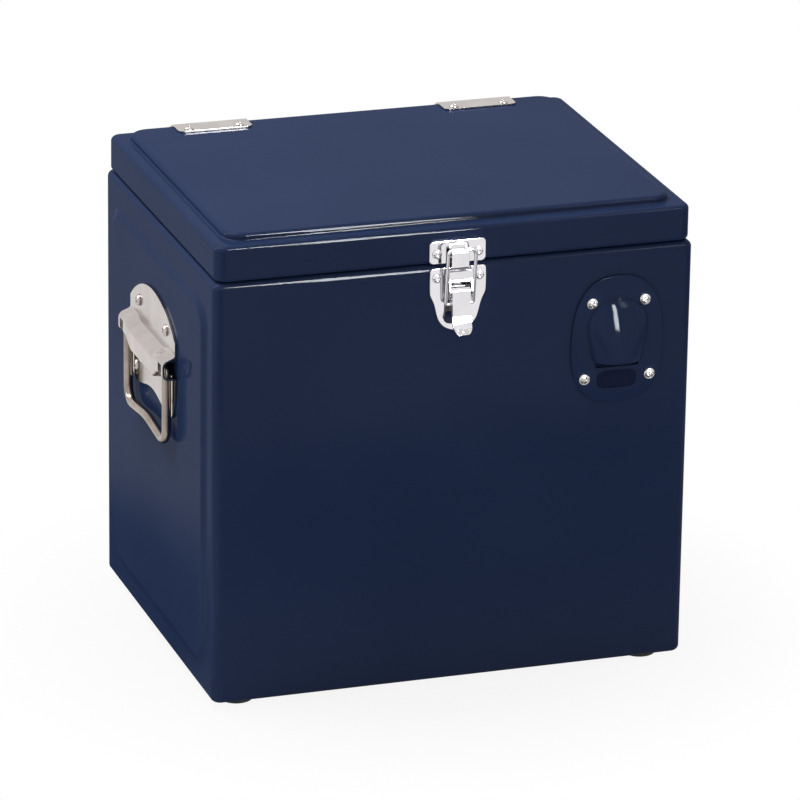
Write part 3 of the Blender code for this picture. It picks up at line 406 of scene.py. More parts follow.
# Gloss navy powder coat: faint orange peel under a thin clear gloss
paint = Finish("navy_gloss_coat", "navy_paint", 0.0, Specular_IOR_Level=0.0, Coat_Weight=0.1,
               Coat_Roughness=0.04)
paint.colour(9.0, (43, 58, 94), (47, 62, 98))
paint.roughness(60.0, 0.4, 0.5)
paint.bump(420.0, 0.06, 0.05, True, detail=1.0)

chrome = Finish("polished_chrome", "chrome", 1.0)
chrome.colour(40.0, (224, 222, 225), (234, 232, 235))
chrome.roughness(300.0, 0.006, 0.016)
chrome.bump(160.0, 0.1, 0.06)

satin = Finish("satin_stainless", "nickel", 1.0)
satin.colour(50.0, (178, 170, 166), (192, 184, 180))
satin.roughness(500.0, 0.12, 0.19)
satin.bump(900.0, 0.12, 0.03, detail=3.0, stretch=(1.0, 0.12, 1.0))

# Bail wire: the same nickel as the plates, darker and browner; partly the drawn wire's own tone, partly painted
# shade of the bail's shadow side
drawn_wire_and_shade = Finish("drawn_stainless_and_shade", "nickel", 1.0)
drawn_wire_and_shade.colour(70.0, (146, 135, 125), (166, 155, 146))
drawn_wire_and_shade.roughness(400.0, 0.16, 0.26)
drawn_wire_and_shade.bump(700.0, 0.1, 0.03, detail=3.0)

steel = Finish("bright_zinc", "bright_steel", 1.0)
steel.colour(200.0, (190, 188, 186), (214, 212, 210))
steel.roughness(700.0, 0.12, 0.24)
steel.bump(900.0, 0.08, 0.02)

white_plastic = Finish("white_moulding", "white_plastic", 0.0, Subsurface_Weight=0.05,
                       Specular_IOR_Level=0.4)
white_plastic.colour(12.0, (228, 229, 228), (236, 236, 234))
white_plastic.roughness(120.0, 0.34, 0.44)
white_plastic.bump(1400.0, 0.08, 0.03)

# Painted shade: a darker, matt copy of the navy paint for the opener's dimple and the recess under the hood's lip,
# standing in for the shade that falls there
shaded = Finish("navy_painted_recess_shade", "navy_paint", 0.0, Specular_IOR_Level=0.0)
shaded.colour(40.0, (38, 45, 76), (41, 49, 79))
shaded.roughness(200.0, 0.55, 0.7)
shaded.bump(600.0, 0.1, 0.04)

rubber = Finish("black_rubber", "rubber", 0.0, Specular_IOR_Level=0.35)
rubber.colour(120.0, (20, 20, 22), (30, 30, 32))
rubber.roughness(400.0, 0.6, 0.78)
rubber.bump(1500.0, 0.2, 0.04)

seal_rubber = Finish("grey_seal", "gasket", 0.0, Specular_IOR_Level=0.3)
seal_rubber.colour(90.0, (92, 94, 97), (106, 108, 110))
seal_rubber.roughness(300.0, 0.55, 0.7)
seal_rubber.bump(1200.0, 0.15, 0.03)

foam = Finish("insulating_foam", "foam", 0.0, Specular_IOR_Level=0.1)
foam.colour(300.0, (222, 205, 150), (236, 222, 172))
foam.roughness(300.0, 0.85, 0.95)
foam.bump(1600.0, 0.5, 0.2, detail=4.0)

for node in ("body_foam", "lid_foam"):
    frame["nodes"][node].data.materials.clear()
    frame["nodes"][node].data.materials.append(foam.made)

# Shell: drawn steel with rolled edges and a soft raised panel on each side
BODY_CORNER = 7.0
BODY_TOP_RADIUS = 4.5
BODY_BOTTOM_RADIUS = 4.0
LIP_WIDTH = 12.0
PANEL_MARGIN = 17.0
PANEL_TOP_MARGIN = 18.0
PANEL_CORNER = 22.0
PANEL_EDGE = 7.5
PANEL_STEPS = 12
OUTER_CORNER_LEAST = 1.5
LID_CORNER_LEAST = 2.0
INNER_CORNER_LEAST = 6.0
SIDES = ((-1, "left"), (1, "right"))


def body_corner(inset):
    if inset >= LIP_WIDTH:
        return BODY_CORNER
    return max(BODY_CORNER - inset, OUTER_CORNER_LEAST)


bottom_z = SHELL_BOTTOM + BODY_BOTTOM_RADIUS
top_z = SEAM - BODY_TOP_RADIUS
pairs = arc(BODY_BOTTOM_RADIUS, bottom_z, BODY_BOTTOM_RADIUS, -90, 0)
pairs += arc(BODY_TOP_RADIUS, top_z, BODY_TOP_RADIUS, 0, 90)
pairs += [(LIP_WIDTH, SEAM), (LIP_WIDTH, SEAM - SHEET)]
pairs += arc(BODY_TOP_RADIUS, top_z, BODY_TOP_RADIUS - SHEET, 90, 0, 3)
pairs += arc(BODY_BOTTOM_RADIUS, bottom_z, BODY_BOTTOM_RADIUS - SHEET, 0, -90, 3)
shell = loft("shell_skin", stacked(pairs, body_corner))
panels = []
for side, side_name in SIDES:
    loops = []
    for k in range(-1, PANEL_STEPS + 1):
        share = max(k, 0) / PANEL_STEPS
        inset = PANEL_EDGE * share
        margin = PANEL_MARGIN + inset
        outline = rounded_rectangle(FRONT + margin, BACK - margin, SHELL_BOTTOM + margin,
                                    SEAM - PANEL_TOP_MARGIN - inset, PANEL_CORNER - inset, PANEL_STEPS)
        out = PANEL_RAISE * smooth_step(share) if k >= 0 else -FIT_GAP
        loops.append([(side * (WIDTH / 2 + out), y, z) for y, z in outline])
    panels.append(loft("panel_" + side_name, loops))
join_solids(shell, panels, "UNION")
dress(shell, paint, "chest", ["outer_shell"], 30.0)

# Tub and its rolled mouth
TUB_INSET = 30.0
TUB_WALL = 2.0
TUB_FLOOR_RADIUS = 10.0
TUB_CORNER = 18.0
MOUTH_ROLL = 1.0
rim_top = tub_high.z
rim_under = rim_top - TUB_WALL
rim_edge = tub_low.x + WIDTH / 2
floor_bend = (TUB_INSET + TUB_FLOOR_RADIUS, tub_low.z + TUB_WALL + TUB_FLOOR_RADIUS)
mouth = TUB_WALL + MOUTH_ROLL


def tub_corner(inset):
    if inset < LIP_WIDTH:
        return max(BODY_CORNER - inset, OUTER_CORNER_LEAST)
    return max(TUB_CORNER + TUB_INSET - inset, INNER_CORNER_LEAST)


pairs = arc(*floor_bend, TUB_FLOOR_RADIUS, -90, 0)
pairs += arc(TUB_INSET - mouth, rim_top - mouth, -mouth, 0, -90, 6)
pairs += [(rim_edge, rim_top), (rim_edge, rim_under), (TUB_INSET - TUB_WALL, rim_under)]
pairs += arc(*floor_bend, TUB_FLOOR_RADIUS + TUB_WALL, 0, -90)
dress(loft("tub_moulding", stacked(pairs, tub_corner)), white_plastic, "chest", ["inner_tub"], 50.0)

# Lid cover: skirt with a rolled hem, flange and crowned panel
LID_CORNER = 8.0
LID_EDGE_RADIUS = 3.5
LID_HEM_RADIUS = 3.0
LID_HEM_WIDTH = 7.0
PANEL_INSET = 12.0
CROWN_RADIUS = 3.2
CROWN_FILLET = 1.5
CROWN_CORNER = 14.0
CROWN_BACK_SHIFT = 0.5
CROWN_FLAT = 3.0
edge_bend = (LID_INSET + LID_EDGE_RADIUS, FLANGE - LID_EDGE_RADIUS)
hem_bend = (LID_INSET + LID_HEM_RADIUS, SKIRT_BOTTOM + LID_HEM_RADIUS)
crown_bend = (PANEL_INSET + CROWN_RADIUS, LID_TOP - CROWN_RADIUS)
fillet_bend = (PANEL_INSET - CROWN_FILLET, FLANGE + CROWN_FILLET)
panel_start = fillet_bend[0]


def lid_corner(inset):
    if inset < panel_start:
        return max(LID_CORNER + LID_INSET - inset, LID_CORNER_LEAST)
    return max(CROWN_CORNER + PANEL_INSET - inset, INNER_CORNER_LEAST)


def crown_shift(inset, z):
    return CROWN_BACK_SHIFT if inset >= panel_start and z > FLANGE - SHEET - CROWN_FILLET else 0.0


def lid_skin(offset, steps):
    """Profile of the cover from its skirt up to the crown, a distance inside the outer face."""
    found = arc(*edge_bend, LID_EDGE_RADIUS - offset, 0, 90, steps)
    found += arc(*fillet_bend, -CROWN_FILLET - offset, 90, 0, 6)
    found += arc(*crown_bend, CROWN_RADIUS - offset, 0, 90, steps)
    return found + [(crown_bend[0] + CROWN_FLAT, LID_TOP - offset)]


hem_lip = LID_INSET + LID_HEM_WIDTH
pairs = list(reversed(lid_skin(0.0, 10))) + arc(*hem_bend, LID_HEM_RADIUS, 0, -90, 8)
pairs += [(hem_lip, SKIRT_BOTTOM), (hem_lip, SKIRT_BOTTOM + SHEET)]
pairs += arc(*hem_bend, LID_HEM_RADIUS - SHEET, -90, 0, 4) + lid_skin(SHEET, 4)
dress(loft("lid_cover", stacked(pairs, lid_corner, crown_shift)), paint, "lid", ["lid_shell"], 40.0)

# Lid pan and the bulb seal round it
pan_low, pan_high = frame_box("lid_pan")
PLUG_CLEARANCE = 3.0
PLUG_RADIUS = 8.0
pan_top = pan_high.z
pan_z = pan_top - TUB_WALL
pan_edge = pan_low.x + WIDTH / 2
plug_inset = TUB_INSET + PLUG_CLEARANCE
plug_bend = (plug_inset + PLUG_RADIUS, pan_low.z + PLUG_RADIUS)


def pan_corner(inset):
    if inset < panel_start:
        return max(LID_CORNER + LID_INSET - inset, LID_CORNER_LEAST)
    return max(TUB_CORNER + plug_inset - inset, INNER_CORNER_LEAST)


pairs = arc(*plug_bend, PLUG_RADIUS, -90, 0)
pairs += [(plug_inset, pan_z), (pan_edge, pan_z), (pan_edge, pan_top), (plug_inset + TUB_WALL, pan_top)]
pairs += arc(*plug_bend, PLUG_RADIUS - TUB_WALL, 0, -90)
dress(loft("lid_pan_moulding", stacked(pairs, pan_corner)), white_plastic, "lid", ["lid_pan"], 50.0)

seal_low, seal_high = frame_box("lid_gasket")
seal_radius = (seal_high.z - seal_low.z) / 2
seal_inset = seal_low.x + WIDTH / 2 + seal_radius
seal = wire("lid_seal", level_loop(seal_inset, seal_low.z + seal_radius, TUB_CORNER), seal_radius, True)
dress(seal, seal_rubber, "lid", ["lid_gasket"], 60.0)

# Rubber feet with a recess for the screw
FOOT_WEB = 3.0
FOOT_RECESS = 4.4
foot_radius = (foot_high.x - foot_low.x) / 2
foot_top = foot_high.z
seat_z = foot_top + FIT_GAP - FOOT_WEB
# Distance in from the foot's radius, and height
FOOT_EDGE = ((0.0, foot_top), (0.5, foot_top - 2.5), (0.9, 1.4), (1.2, 0.6), (1.7, 0.15), (2.4, 0.0))
for foot_name in ("front_left", "front_right", "back_left", "back_right"):
    low, high = frame_box("foot_" + foot_name)
    spot = ((low.x + high.x) / 2, (low.y + high.y) / 2, 0.0)
    profile = [(foot_radius - inset, height) for inset, height in FOOT_EDGE]
    profile += [(FOOT_RECESS + 0.5, 0.0), (FOOT_RECESS, 0.4), (FOOT_RECESS, seat_z), (0.6, seat_z)]
    foot = turned("foot_pad_" + foot_name, profile, spot, (0, 0, 1))
    dress(foot, rubber, "chest", ["foot_" + foot_name], 50.0)

# Hinges: strap over the lid edge with rounded ends, leaf on the back, rolled knuckles and a headed pin
KNUCKLE_RADIUS = 3.6
KNUCKLE_HALF = 8.8
KNUCKLE_GAP = 0.4
PIN_RADIUS = 1.7
STRAP_CORNER = 4.0
STRAP_SHEET = 1.1
STRAP_SLOPE = math.radians(28.0)
STRAP_STAND_OFF = 0.4
STRAP_CLEARANCE = 0.1
STRAP_BENDS = (0.0, 4.0, 3.0, 0.0)
STRAP_END = 5.3
STRAP_COLUMNS = 12
CORNER_STEPS = 8
TONGUE_HALF = 0.35
TONGUE_TOP = 6.5
KNUCKLE_SIDES = 40
LEAF_DROP = 4.5
LEAF_CORNER = 3.0
WEB_SETBACK = 0.4
PIN_OVERHANG = 0.6
PIN_ROUND = 0.15
strap_half = (strap_high.x - strap_low.x) / 2
strap_mid_top = strap_high.z - STRAP_SHEET / 2
strap_mid_back = BACK + STRAP_STAND_OFF + STRAP_SHEET / 2
edge_out = (BACK - edge_bend[0]) * math.sin(STRAP_SLOPE) + edge_bend[1] * math.cos(STRAP_SLOPE)
edge_out += LID_EDGE_RADIUS
slope_offset = edge_out + FIT_GAP + STRAP_CLEARANCE + STRAP_SHEET / 2
slope_start = (slope_offset - strap_mid_top * math.cos(STRAP_SLOPE)) / math.sin(STRAP_SLOPE)
slope_end = (slope_offset - strap_mid_back * math.sin(STRAP_SLOPE)) / math.cos(STRAP_SLOPE)
knuckle = circle(KNUCKLE_RADIUS, KNUCKLE_SIDES, HINGE_AXIS.y, HINGE_AXIS.z)
for side, side_name in SIDES:
    low, high = frame_box("hinge_lid_leaf_" + side_name)
    hinge_x = (low.x + high.x) / 2
    tip = low.y
    route = rounded_path([(tip, strap_mid_top), (slope_start, strap_mid_top), (strap_mid_back, slope_end),
                          (strap_mid_back, HINGE_AXIS.z + STRAP_END)], STRAP_BENDS)
    corner_run = [STRAP_CORNER * (1.0 - math.cos(math.pi / 2 * k / CORNER_STEPS))
                  for k in range(CORNER_STEPS + 1)]
    rows = []
    for run in corner_run:
        inner = STRAP_CORNER - math.sqrt(STRAP_CORNER ** 2 - (STRAP_CORNER - run) ** 2)
        half = strap_half - inner
        rows.append([(hinge_x - half + 2 * half * k / STRAP_COLUMNS, tip + run, strap_mid_top)
                     for k in range(STRAP_COLUMNS + 1)])
    for y, z in route[1:]:
        rows.append([(hinge_x - strap_half + 2 * strap_half * k / STRAP_COLUMNS, y, z)
                     for k in range(STRAP_COLUMNS + 1)])
    strap = sheet("hinge_strap_" + side_name, rows, STRAP_SHEET)
    ease_edges(strap, 0.3, 2, 50.0)
    across = place((0, 1, 0), (0, 0, 1), (hinge_x, 0.0, 0.0))
    tongue = [(strap_mid_back - TONGUE_HALF, HINGE_AXIS.z + TONGUE_TOP),
              (strap_mid_back - TONGUE_HALF, HINGE_AXIS.z + KNUCKLE_RADIUS),
              (HINGE_AXIS.y - 2.6, HINGE_AXIS.z - 0.5), (HINGE_AXIS.y + 0.6, HINGE_AXIS.z + 2.4),
              (strap_mid_back + TONGUE_HALF, HINGE_AXIS.z + TONGUE_TOP)]
    tongue_piece = flat_plate("strap_tongue", tongue, -KNUCKLE_HALF, KNUCKLE_HALF, across)
    roll = flat_plate("strap_roll", knuckle, -KNUCKLE_HALF, KNUCKLE_HALF, across)
    join_solids(strap, [tongue_piece, roll], "UNION")
    dress(strap, satin, "lid", ["hinge_lid_leaf_" + side_name], 35.0)

    leaf_bottom = frame_box("hinge_body_leaf_" + side_name)[0].z
    leaf_top = SEAM - LEAF_DROP
    back_face = place((-1, 0, 0), (0, 0, 1), (hinge_x, BACK, 0.0))
    leaf_outline = rounded_rectangle(-strap_half, strap_half, leaf_bottom, leaf_top, LEAF_CORNER, 6)
    leaf = flat_plate("hinge_leaf_" + side_name, leaf_outline, FIT_GAP, PLATE_FRONT, back_face)
    ease_edges(leaf, 0.3, 2)
    rolls = []
    for end in (-1, 1):
        ends = sorted((end * (KNUCKLE_HALF + KNUCKLE_GAP), end * strap_half))
        web = [(BACK + 0.6, leaf_top - 1.5), (BACK + 1.5, leaf_top - 1.5),
               (HINGE_AXIS.y - 1.5, HINGE_AXIS.z - 2.4), (HINGE_AXIS.y - 2.0, HINGE_AXIS.z + 1.0),
               (BACK + 1.5, HINGE_AXIS.z), (BACK + 0.6, leaf_top + 1.5)]
        rolls.append(flat_plate(f"leaf_web_{end}", web,
                                ends[0] + WEB_SETBACK, ends[1] - WEB_SETBACK, across))
        rolls.append(flat_plate(f"leaf_roll_{end}", knuckle, ends[0], ends[1], across))
    join_solids(leaf, rolls, "UNION")
    dress(leaf, satin, "chest", ["hinge_body_leaf_" + side_name], 35.0)
    end_cap = strap_half + PIN_OVERHANG
    profile = [(PIN_RADIUS * 0.4, end_cap), (PIN_RADIUS * 0.8, end_cap - PIN_ROUND),
               (PIN_RADIUS, strap_half)]
    profile += [(radius, -height) for radius, height in reversed(profile)]
    pin = turned("hinge_rod_" + side_name, profile, (hinge_x, HINGE_AXIS.y, HINGE_AXIS.z), (1, 0, 0), 24)
    dress(pin, steel, "chest", ["hinge_pin_" + side_name], 50.0)

# Side handles: one pressed sheet from dome through channel to the two legs, and a bent wire bail
DOME_SIDE = 20.0
ARCH_DROP = 31.0
BAIL_BOW = 5.0
BAIL_BOW_RADIUS = 90.0
BAIL_ELBOW = 4.0
BAIL_CORNER = 11.0
EAR_SHARE = 0.74
VISOR_SHARE = 0.46
LEG_SHARE = 0.74
LEG_POWER = 2.4
LEG_LEAST = 9.0
HANDLE_COLUMNS = 40
# Heights and bend radii of the pressed section at its ears, and how each changes towards the visor
SECTION_FOOT = (9.8, -2.2)
SECTION_BROW = (6.4, -3.0)
SECTION_LIP = (-4.6, -6.6)
SECTION_BENDS = ((3.4, -1.6), (4.4, -1.0), (3.6, -1.8), (1.2, 0.0))
LIP_SETBACK = 0.5
LIP_RETURN = 1.4
ARM_SLOT_DOWN = 15.0
ARM_SLOT_UP = 4.4
ARM_SLOT_PAST = 8.0
ARM_SLOT_BACK = 0.15
ARM_SLOT_CORNER = 1.2
ARM_SLOT_CLEARANCE = 0.6
handle_half = (plate_high.y - plate_low.y) / 2
dome_rise = plate_high.z - BAIL_AXIS.z
leg_drop = BAIL_AXIS.z - plate_low.z
bail_out = BAIL_AXIS.x - WIDTH / 2
bail_radius = (bail_high.x - bail_low.x) / 2
sheet_out = plate_low.x - WIDTH / 2 + SHEET / 2
channel_out = plate_high.x - WIDTH / 2 - SHEET / 2


def dome_edge(share):
    """Upper edge: an arc over the handle's width."""
    cap = dome_rise - DOME_SIDE
    radius = (handle_half * handle_half + cap * cap) / (2 * cap)
    return dome_rise - radius + math.sqrt(radius * radius - (handle_half * share) ** 2)


def leg_edge(share):
    """Lower edge: two rounded legs with a shallow arch between them."""
    if share > LEG_SHARE:
        run = (share - LEG_SHARE) / (1.0 - LEG_SHARE)
        return max(leg_drop * (1.0 - run ** LEG_POWER) ** (1 / LEG_POWER), LEG_LEAST)
    return ARCH_DROP + (leg_drop - ARCH_DROP) * (1.0 - math.cos(math.pi * share / LEG_SHARE)) / 2


def handle_section(share):
    """Height and distance out of the pressed sheet: round ears at the wire's ends, a visor between."""
    deep = smooth_step(max(0.0, min(1.0, (EAR_SHARE - share) / (EAR_SHARE - VISOR_SHARE))))
    foot, brow, lip = (ear + change * deep for ear, change in (SECTION_FOOT, SECTION_BROW, SECTION_LIP))
    bends = [ear + change * deep for ear, change in SECTION_BENDS]
    corners = [(dome_edge(share), sheet_out), (foot, sheet_out), (brow, channel_out),
               (lip, channel_out - LIP_SETBACK * deep), (lip - LIP_RETURN, sheet_out),
               (-leg_edge(share), sheet_out)]
    return rounded_path(corners, [0.0, *bends, 0.0], 9)


for side, side_name in SIDES:
    rows = []
    for k in range(2 * HANDLE_COLUMNS + 1):
        across_share = math.sin(math.pi / 2 * (k / HANDLE_COLUMNS - 1.0))
        depth = MIDDLE + handle_half * across_share
        section = handle_section(abs(across_share))
        rows.append([(side * (WIDTH / 2 + out), depth, BAIL_AXIS.z + v) for v, out in section])
    plate = sheet("handle_press_" + side_name, rows, SHEET)
    ease_edges(plate, 0.35, 2, 50.0)
    along = place((0, 0, 1), (side, 0, 0), (side * WIDTH / 2, MIDDLE, BAIL_AXIS.z))
    arm = bail_high.y - MIDDLE - bail_radius
    slot = rounded_rectangle(-ARM_SLOT_DOWN, ARM_SLOT_UP, sheet_out + SHEET / 2 + ARM_SLOT_BACK,
                             channel_out + ARM_SLOT_PAST, ARM_SLOT_CORNER, 5)
    slots = []
    for end in (-1, 1):
        slots.append(flat_plate(f"arm_slot_{end}", slot, end * arm - bail_radius - ARM_SLOT_CLEARANCE,
                                end * arm + bail_radius + ARM_SLOT_CLEARANCE, along))
    join_solids(plate, slots, "DIFFERENCE")
    dress(plate, satin, "chest", ["handle_plate_" + side_name], 40.0)

    drop = BAIL_AXIS.z - bail_low.z - bail_radius
    corners = [(-arm, 0.0), (arm, 0.0), (arm, -drop), (0.0, BAIL_BOW - drop), (-arm, -drop)]
    bends = [BAIL_ELBOW, BAIL_ELBOW, BAIL_CORNER, BAIL_BOW_RADIUS, BAIL_CORNER]
    bail_plane = rounded_path(corners, bends, 12)
    bail_path = [(side * (WIDTH / 2 + bail_out), MIDDLE + u, BAIL_AXIS.z + v) for u, v in bail_plane]
    bail = wire("bail_" + side_name, bail_path, bail_radius, True)
    dress(bail, drawn_wire_and_shade, "handle_bail_" + side_name, ["handle_bail_" + side_name], 60.0)

# Bottle opener: painted plate, swelling hood with an open mouth, and the cap dimple under it
EGG_POWER = 2.5
HOOD_POWER = 1.9
HOOD_HALF_WIDTH = 21.6
HOOD_TOP = 29.5
HOOD_LIP = 14.6
HOOD_WALL = 2.0
HOOD_STEPS = 40
EGG_TAPER = 0.05
# The cave follows these rows of the hood; its roof is given by a rise and by shares of its first row
CAVE_ROWS = slice(14, 34)
CAVE_ROOF = (2.5, 0.5, 0.6)
CAVE_EXIT = 5.3
CAVE_NARROWING = 1.0
CAVE_BACK = 0.4
# Cap dimple in shares of the plate, with rings of (size, distance out from the plate's face)
DIMPLE_POWER = 3.6
DIMPLE_WIDTH = 0.44
DIMPLE_HEIGHT = 0.145
DIMPLE_DROP = 0.634
DIMPLE_RINGS = ((1.12, 0.55), (1.0, 0.0), (0.9, -0.55), (0.82, -0.8))
# Where the painted shade goes under the hood's lip and in the dimple, in shares of the plate's half width and half
# height
RECESS_WIDTH = 0.7
RECESS_FOOT = 0.85
opener_x = (opener_low.x + opener_high.x) / 2
opener_z = (opener_low.z + opener_high.z) / 2
opener_half_width = (opener_high.x - opener_low.x) / 2
opener_half_height = (opener_high.z - opener_low.z) / 2
hood_out = FRONT - opener_low.y
# Shares of the hood's height from its top, of its half width and of its reach
HOOD_FORM = ((0.0, 0.14, 0.15), (0.03, 0.33, 0.21), (0.07, 0.53, 0.31), (0.15, 0.74, 0.46),
             (0.25, 0.91, 0.59), (0.37, 1.0, 0.70), (0.53, 1.0, 0.81), (0.71, 0.94, 0.925),
             (0.87, 0.87, 0.99), (0.97, 0.83, 1.0), (1.0, 0.81, 0.97))


def power_round(angle, power):
    """Point of a squarish ring of unit size."""
    ca, sa = math.cos(angle), math.sin(angle)
    flat = (abs(ca) ** power + abs(sa) ** power) ** (-1 / power)
    return ca * flat, sa * flat


def hood_rows(count):
    """The hood's form, eased between its given rows by a Catmull-Rom curve."""
    found = []
    last = len(HOOD_FORM) - 1
    for k in range(count + 1):
        spot = last * k / count
        j = min(int(spot), last - 1)
        t = spot - j
        a, b, c, d = (Vector(HOOD_FORM[max(0, min(last, j + s))]) for s in (-1, 0, 1, 2))
        square = 2 * a - 5 * b + 4 * c - d
        cube = 3 * b - a - 3 * c + d
        row = 0.5 * (2 * b + (c - a) * t + square * t * t + cube * t ** 3)
        height = HOOD_TOP - (HOOD_TOP + HOOD_LIP) * row.x
        found.append((height, HOOD_HALF_WIDTH * row.y, hood_out * row.z))
    return found


def hood(name, rows, back):
    """Arched sections down the opener, from (height, half width, distance out)."""
    loops = []
    for z, half_width, out in rows:
        ring = [power_round(math.pi * k / 32, HOOD_POWER) for k in range(33)]
        loops.append([(opener_x + half_width * a, FRONT - back - (out - back) * b, opener_z + z)
                      for a, b in ring])
    return loft(name, loops)


ring = [power_round(math.pi * k / 48, EGG_POWER) for k in range(96)]
opener_outline = [(opener_half_width * a * (1.0 - EGG_TAPER * b), opener_half_height * b) for a, b in ring]
opener_face = place((1, 0, 0), (0, 0, 1), (opener_x, FRONT, opener_z))
opener = flat_plate("opener_press", opener_outline, FIT_GAP, PLATE_FRONT, opener_face)
ease_edges(opener, 0.6, 3)
outer_rows = hood_rows(HOOD_STEPS)
cave_rows = [(z, half_width - HOOD_WALL, out - HOOD_WALL) for z, half_width, out in outer_rows[CAVE_ROWS]]
first_z, first_width, first_out = cave_rows[0]
cave_roof = (first_z + CAVE_ROOF[0], first_width * CAVE_ROOF[1], first_out * CAVE_ROOF[2])
cave_mouth = (-HOOD_LIP - CAVE_EXIT, cave_rows[-1][1] - CAVE_NARROWING, cave_rows[-1][2])
cave_rows = [cave_roof, *cave_rows, cave_mouth]
join_solids(opener, [hood("hood_form", outer_rows, FIT_GAP + SHEET / 2)], "UNION")
dimple = []
for size, out in DIMPLE_RINGS:
    ring = [power_round(math.pi * k / 32, DIMPLE_POWER) for k in range(64)]
    dimple.append([(opener_x + opener_half_width * DIMPLE_WIDTH * size * a, FRONT - (PLATE_FRONT + out),
                    opener_z + opener_half_height * (DIMPLE_HEIGHT * size * b - DIMPLE_DROP))
                   for a, b in ring])
cave = hood("hood_cave", cave_rows, FIT_GAP + CAVE_BACK)
join_solids(opener, [cave, loft("cap_dimple", dimple)], "DIFFERENCE")
dress(opener, paint, "chest", ["opener_plate"], 20.0)
opener.data.materials.append(shaded.made)
# Faces of the dimple and of the recess under the hood's lip, which lie behind the plate's front and before its
# back, get the painted shade: darker and matt
recess_top = (opener_z - HOOD_LIP) * MM
recess_foot = (opener_z - opener_half_height * RECESS_FOOT) * MM
recess_side = opener_half_width * RECESS_WIDTH * MM
recess_front = (FRONT - PLATE_FRONT + 0.03) * MM
recess_back = (FRONT - FIT_GAP - 0.02) * MM
for face in opener.data.polygons:
    x, y, z = face.center
    inside = abs(x - opener_x * MM) < recess_side and recess_foot < z < recess_top
    if inside and recess_front < y < recess_back:
        face.material_index = 1
ease_edges(opener, 0.35, 2, 62.0)

# Draw latch, in distance out from the front face and height above the seam
EAR_INNER = 7.0
EAR_THICKNESS = 1.2
HOOK_HALF = 6.25
LEVER_HALF = 6.5
LEVER_KNUCKLE = 3.4
LATCH_PIN_RADIUS = 1.5
LATCH_REST_TURN = 8.0
STRIKE_FOOT = 0.9
STRIKE_CORNER = 3.2
HOOK_BENDS = (0.0, 2.0, 2.2, 1.7, 0.0)
BASE_TOP = -1.5
EAR_DROP = 1.1
EAR_BACK = 1.05
EAR_WIDE = 1.15
EAR_TALL = 1.3
EAR_FOOT = 1.45
EAR_OVERLAP = 0.5
LEVER_LENGTH = 30.0
LEVER_BEND = 19.8
LEVER_PLAN_PLAY = 0.1
latch_side = place((0, -1, 0), (0, 0, 1), (0.0, FRONT, SEAM))
front_face = place((1, 0, 0), (0, 0, 1), (0.0, FRONT, SEAM))
latch_half = base_high.x
strike_top = strike_high.z - SEAM
strike_front = PLATE_FRONT - LID_INSET
hook_foot = strike_low.z - SEAM
hook_out = FRONT - strike_low.y
axis_out = FRONT - LEVER_AXIS.y
axis_up = LEVER_AXIS.z - SEAM


def round_axis(wide, tall, start, step, count):
    """Points round the lever's axis, from a start angle on, in degrees."""
    angles = [math.radians(start + step * k) for k in range(count)]
    return [(axis_out + wide * math.cos(angle), axis_up + tall * math.sin(angle)) for angle in angles]


def softened(outline, rounds=2):
    """Closed outline with its corners cut to soft curves."""
    for _ in range(rounds):
        cut = []
        for k, here in enumerate(outline):
            after = outline[(k + 1) % len(outline)]
            cut.append((here[0] * 0.75 + after[0] * 0.25, here[1] * 0.75 + after[1] * 0.25))
            cut.append((here[0] * 0.25 + after[0] * 0.75, here[1] * 0.25 + after[1] * 0.75))
        outline = cut
    return outline


strike_outline = rounded_rectangle(-latch_half, latch_half, STRIKE_FOOT, strike_top, STRIKE_CORNER, 8)
strike = flat_plate("strike_press", strike_outline, strike_front - SHEET, strike_front, front_face)
ease_edges(strike, 0.45, 3)
hook_mid = hook_out - EAR_THICKNESS / 2
hook_corners = [(strike_front - SHEET / 2, strike_top - 0.7), (strike_front - 0.3, 13.9), (1.3, 11.5),
                (hook_mid, 10.9), (hook_mid, hook_foot)]
hook_path = rounded_path(hook_corners, HOOK_BENDS)
rows = [[(HOOK_HALF * (k / 4 - 1.0), FRONT - out, SEAM + z) for k in range(9)] for out, z in hook_path]
hook = sheet("strike_hook", rows, EAR_THICKNESS)
ease_edges(hook, 0.3, 2, 50.0)
join_solids(strike, [hook], "UNION")
dress(strike, chrome, "lid", ["latch_strike"], 35.0)

# Shares of the base's half width and of its height from the top
SHIELD = ((0.875, 0.0), (0.965, 0.018), (1.0, 0.056), (1.0, 0.378), (0.96, 0.444), (0.87, 0.522),
          (0.795, 0.622), (0.75, 0.722), (0.67, 0.833), (0.5, 0.929), (0.25, 0.985), (0.0, 1.0))
base_height = base_high.z - base_low.z
half_outline = [(latch_half * wide, BASE_TOP - base_height * drop) for wide, drop in SHIELD]
shield = half_outline + [(-x, z) for x, z in reversed(half_outline[:-1])]
base = flat_plate("latch_shield", softened(shield), FIT_GAP, PLATE_FRONT, front_face)
ease_edges(base, 0.45, 3)
ear_top = BASE_TOP - EAR_DROP
web_top = [(axis_out + 0.4, ear_top), (axis_out + 1.4, ear_top - 0.8), (axis_out + 1.8, ear_top - 5.4)]
ear_round = round_axis(LEVER_KNUCKLE * EAR_WIDE, LEVER_KNUCKLE * EAR_TALL, 20, -10, 13)
ear = [(EAR_BACK, ear_top)] + web_top + ear_round + [(EAR_BACK, axis_up - LEVER_KNUCKLE * EAR_FOOT)]
web = web_top + [(axis_out + 2.28, ear_top - 7.4)]
web_half = EAR_INNER + EAR_OVERLAP
rows = [[(web_half * (k / 4 - 1.0), FRONT - out + EAR_THICKNESS / 2, SEAM + z) for k in range(9)]
        for out, z in web]
bridge = sheet("latch_bridge", rows, EAR_THICKNESS)
ears = [bridge]
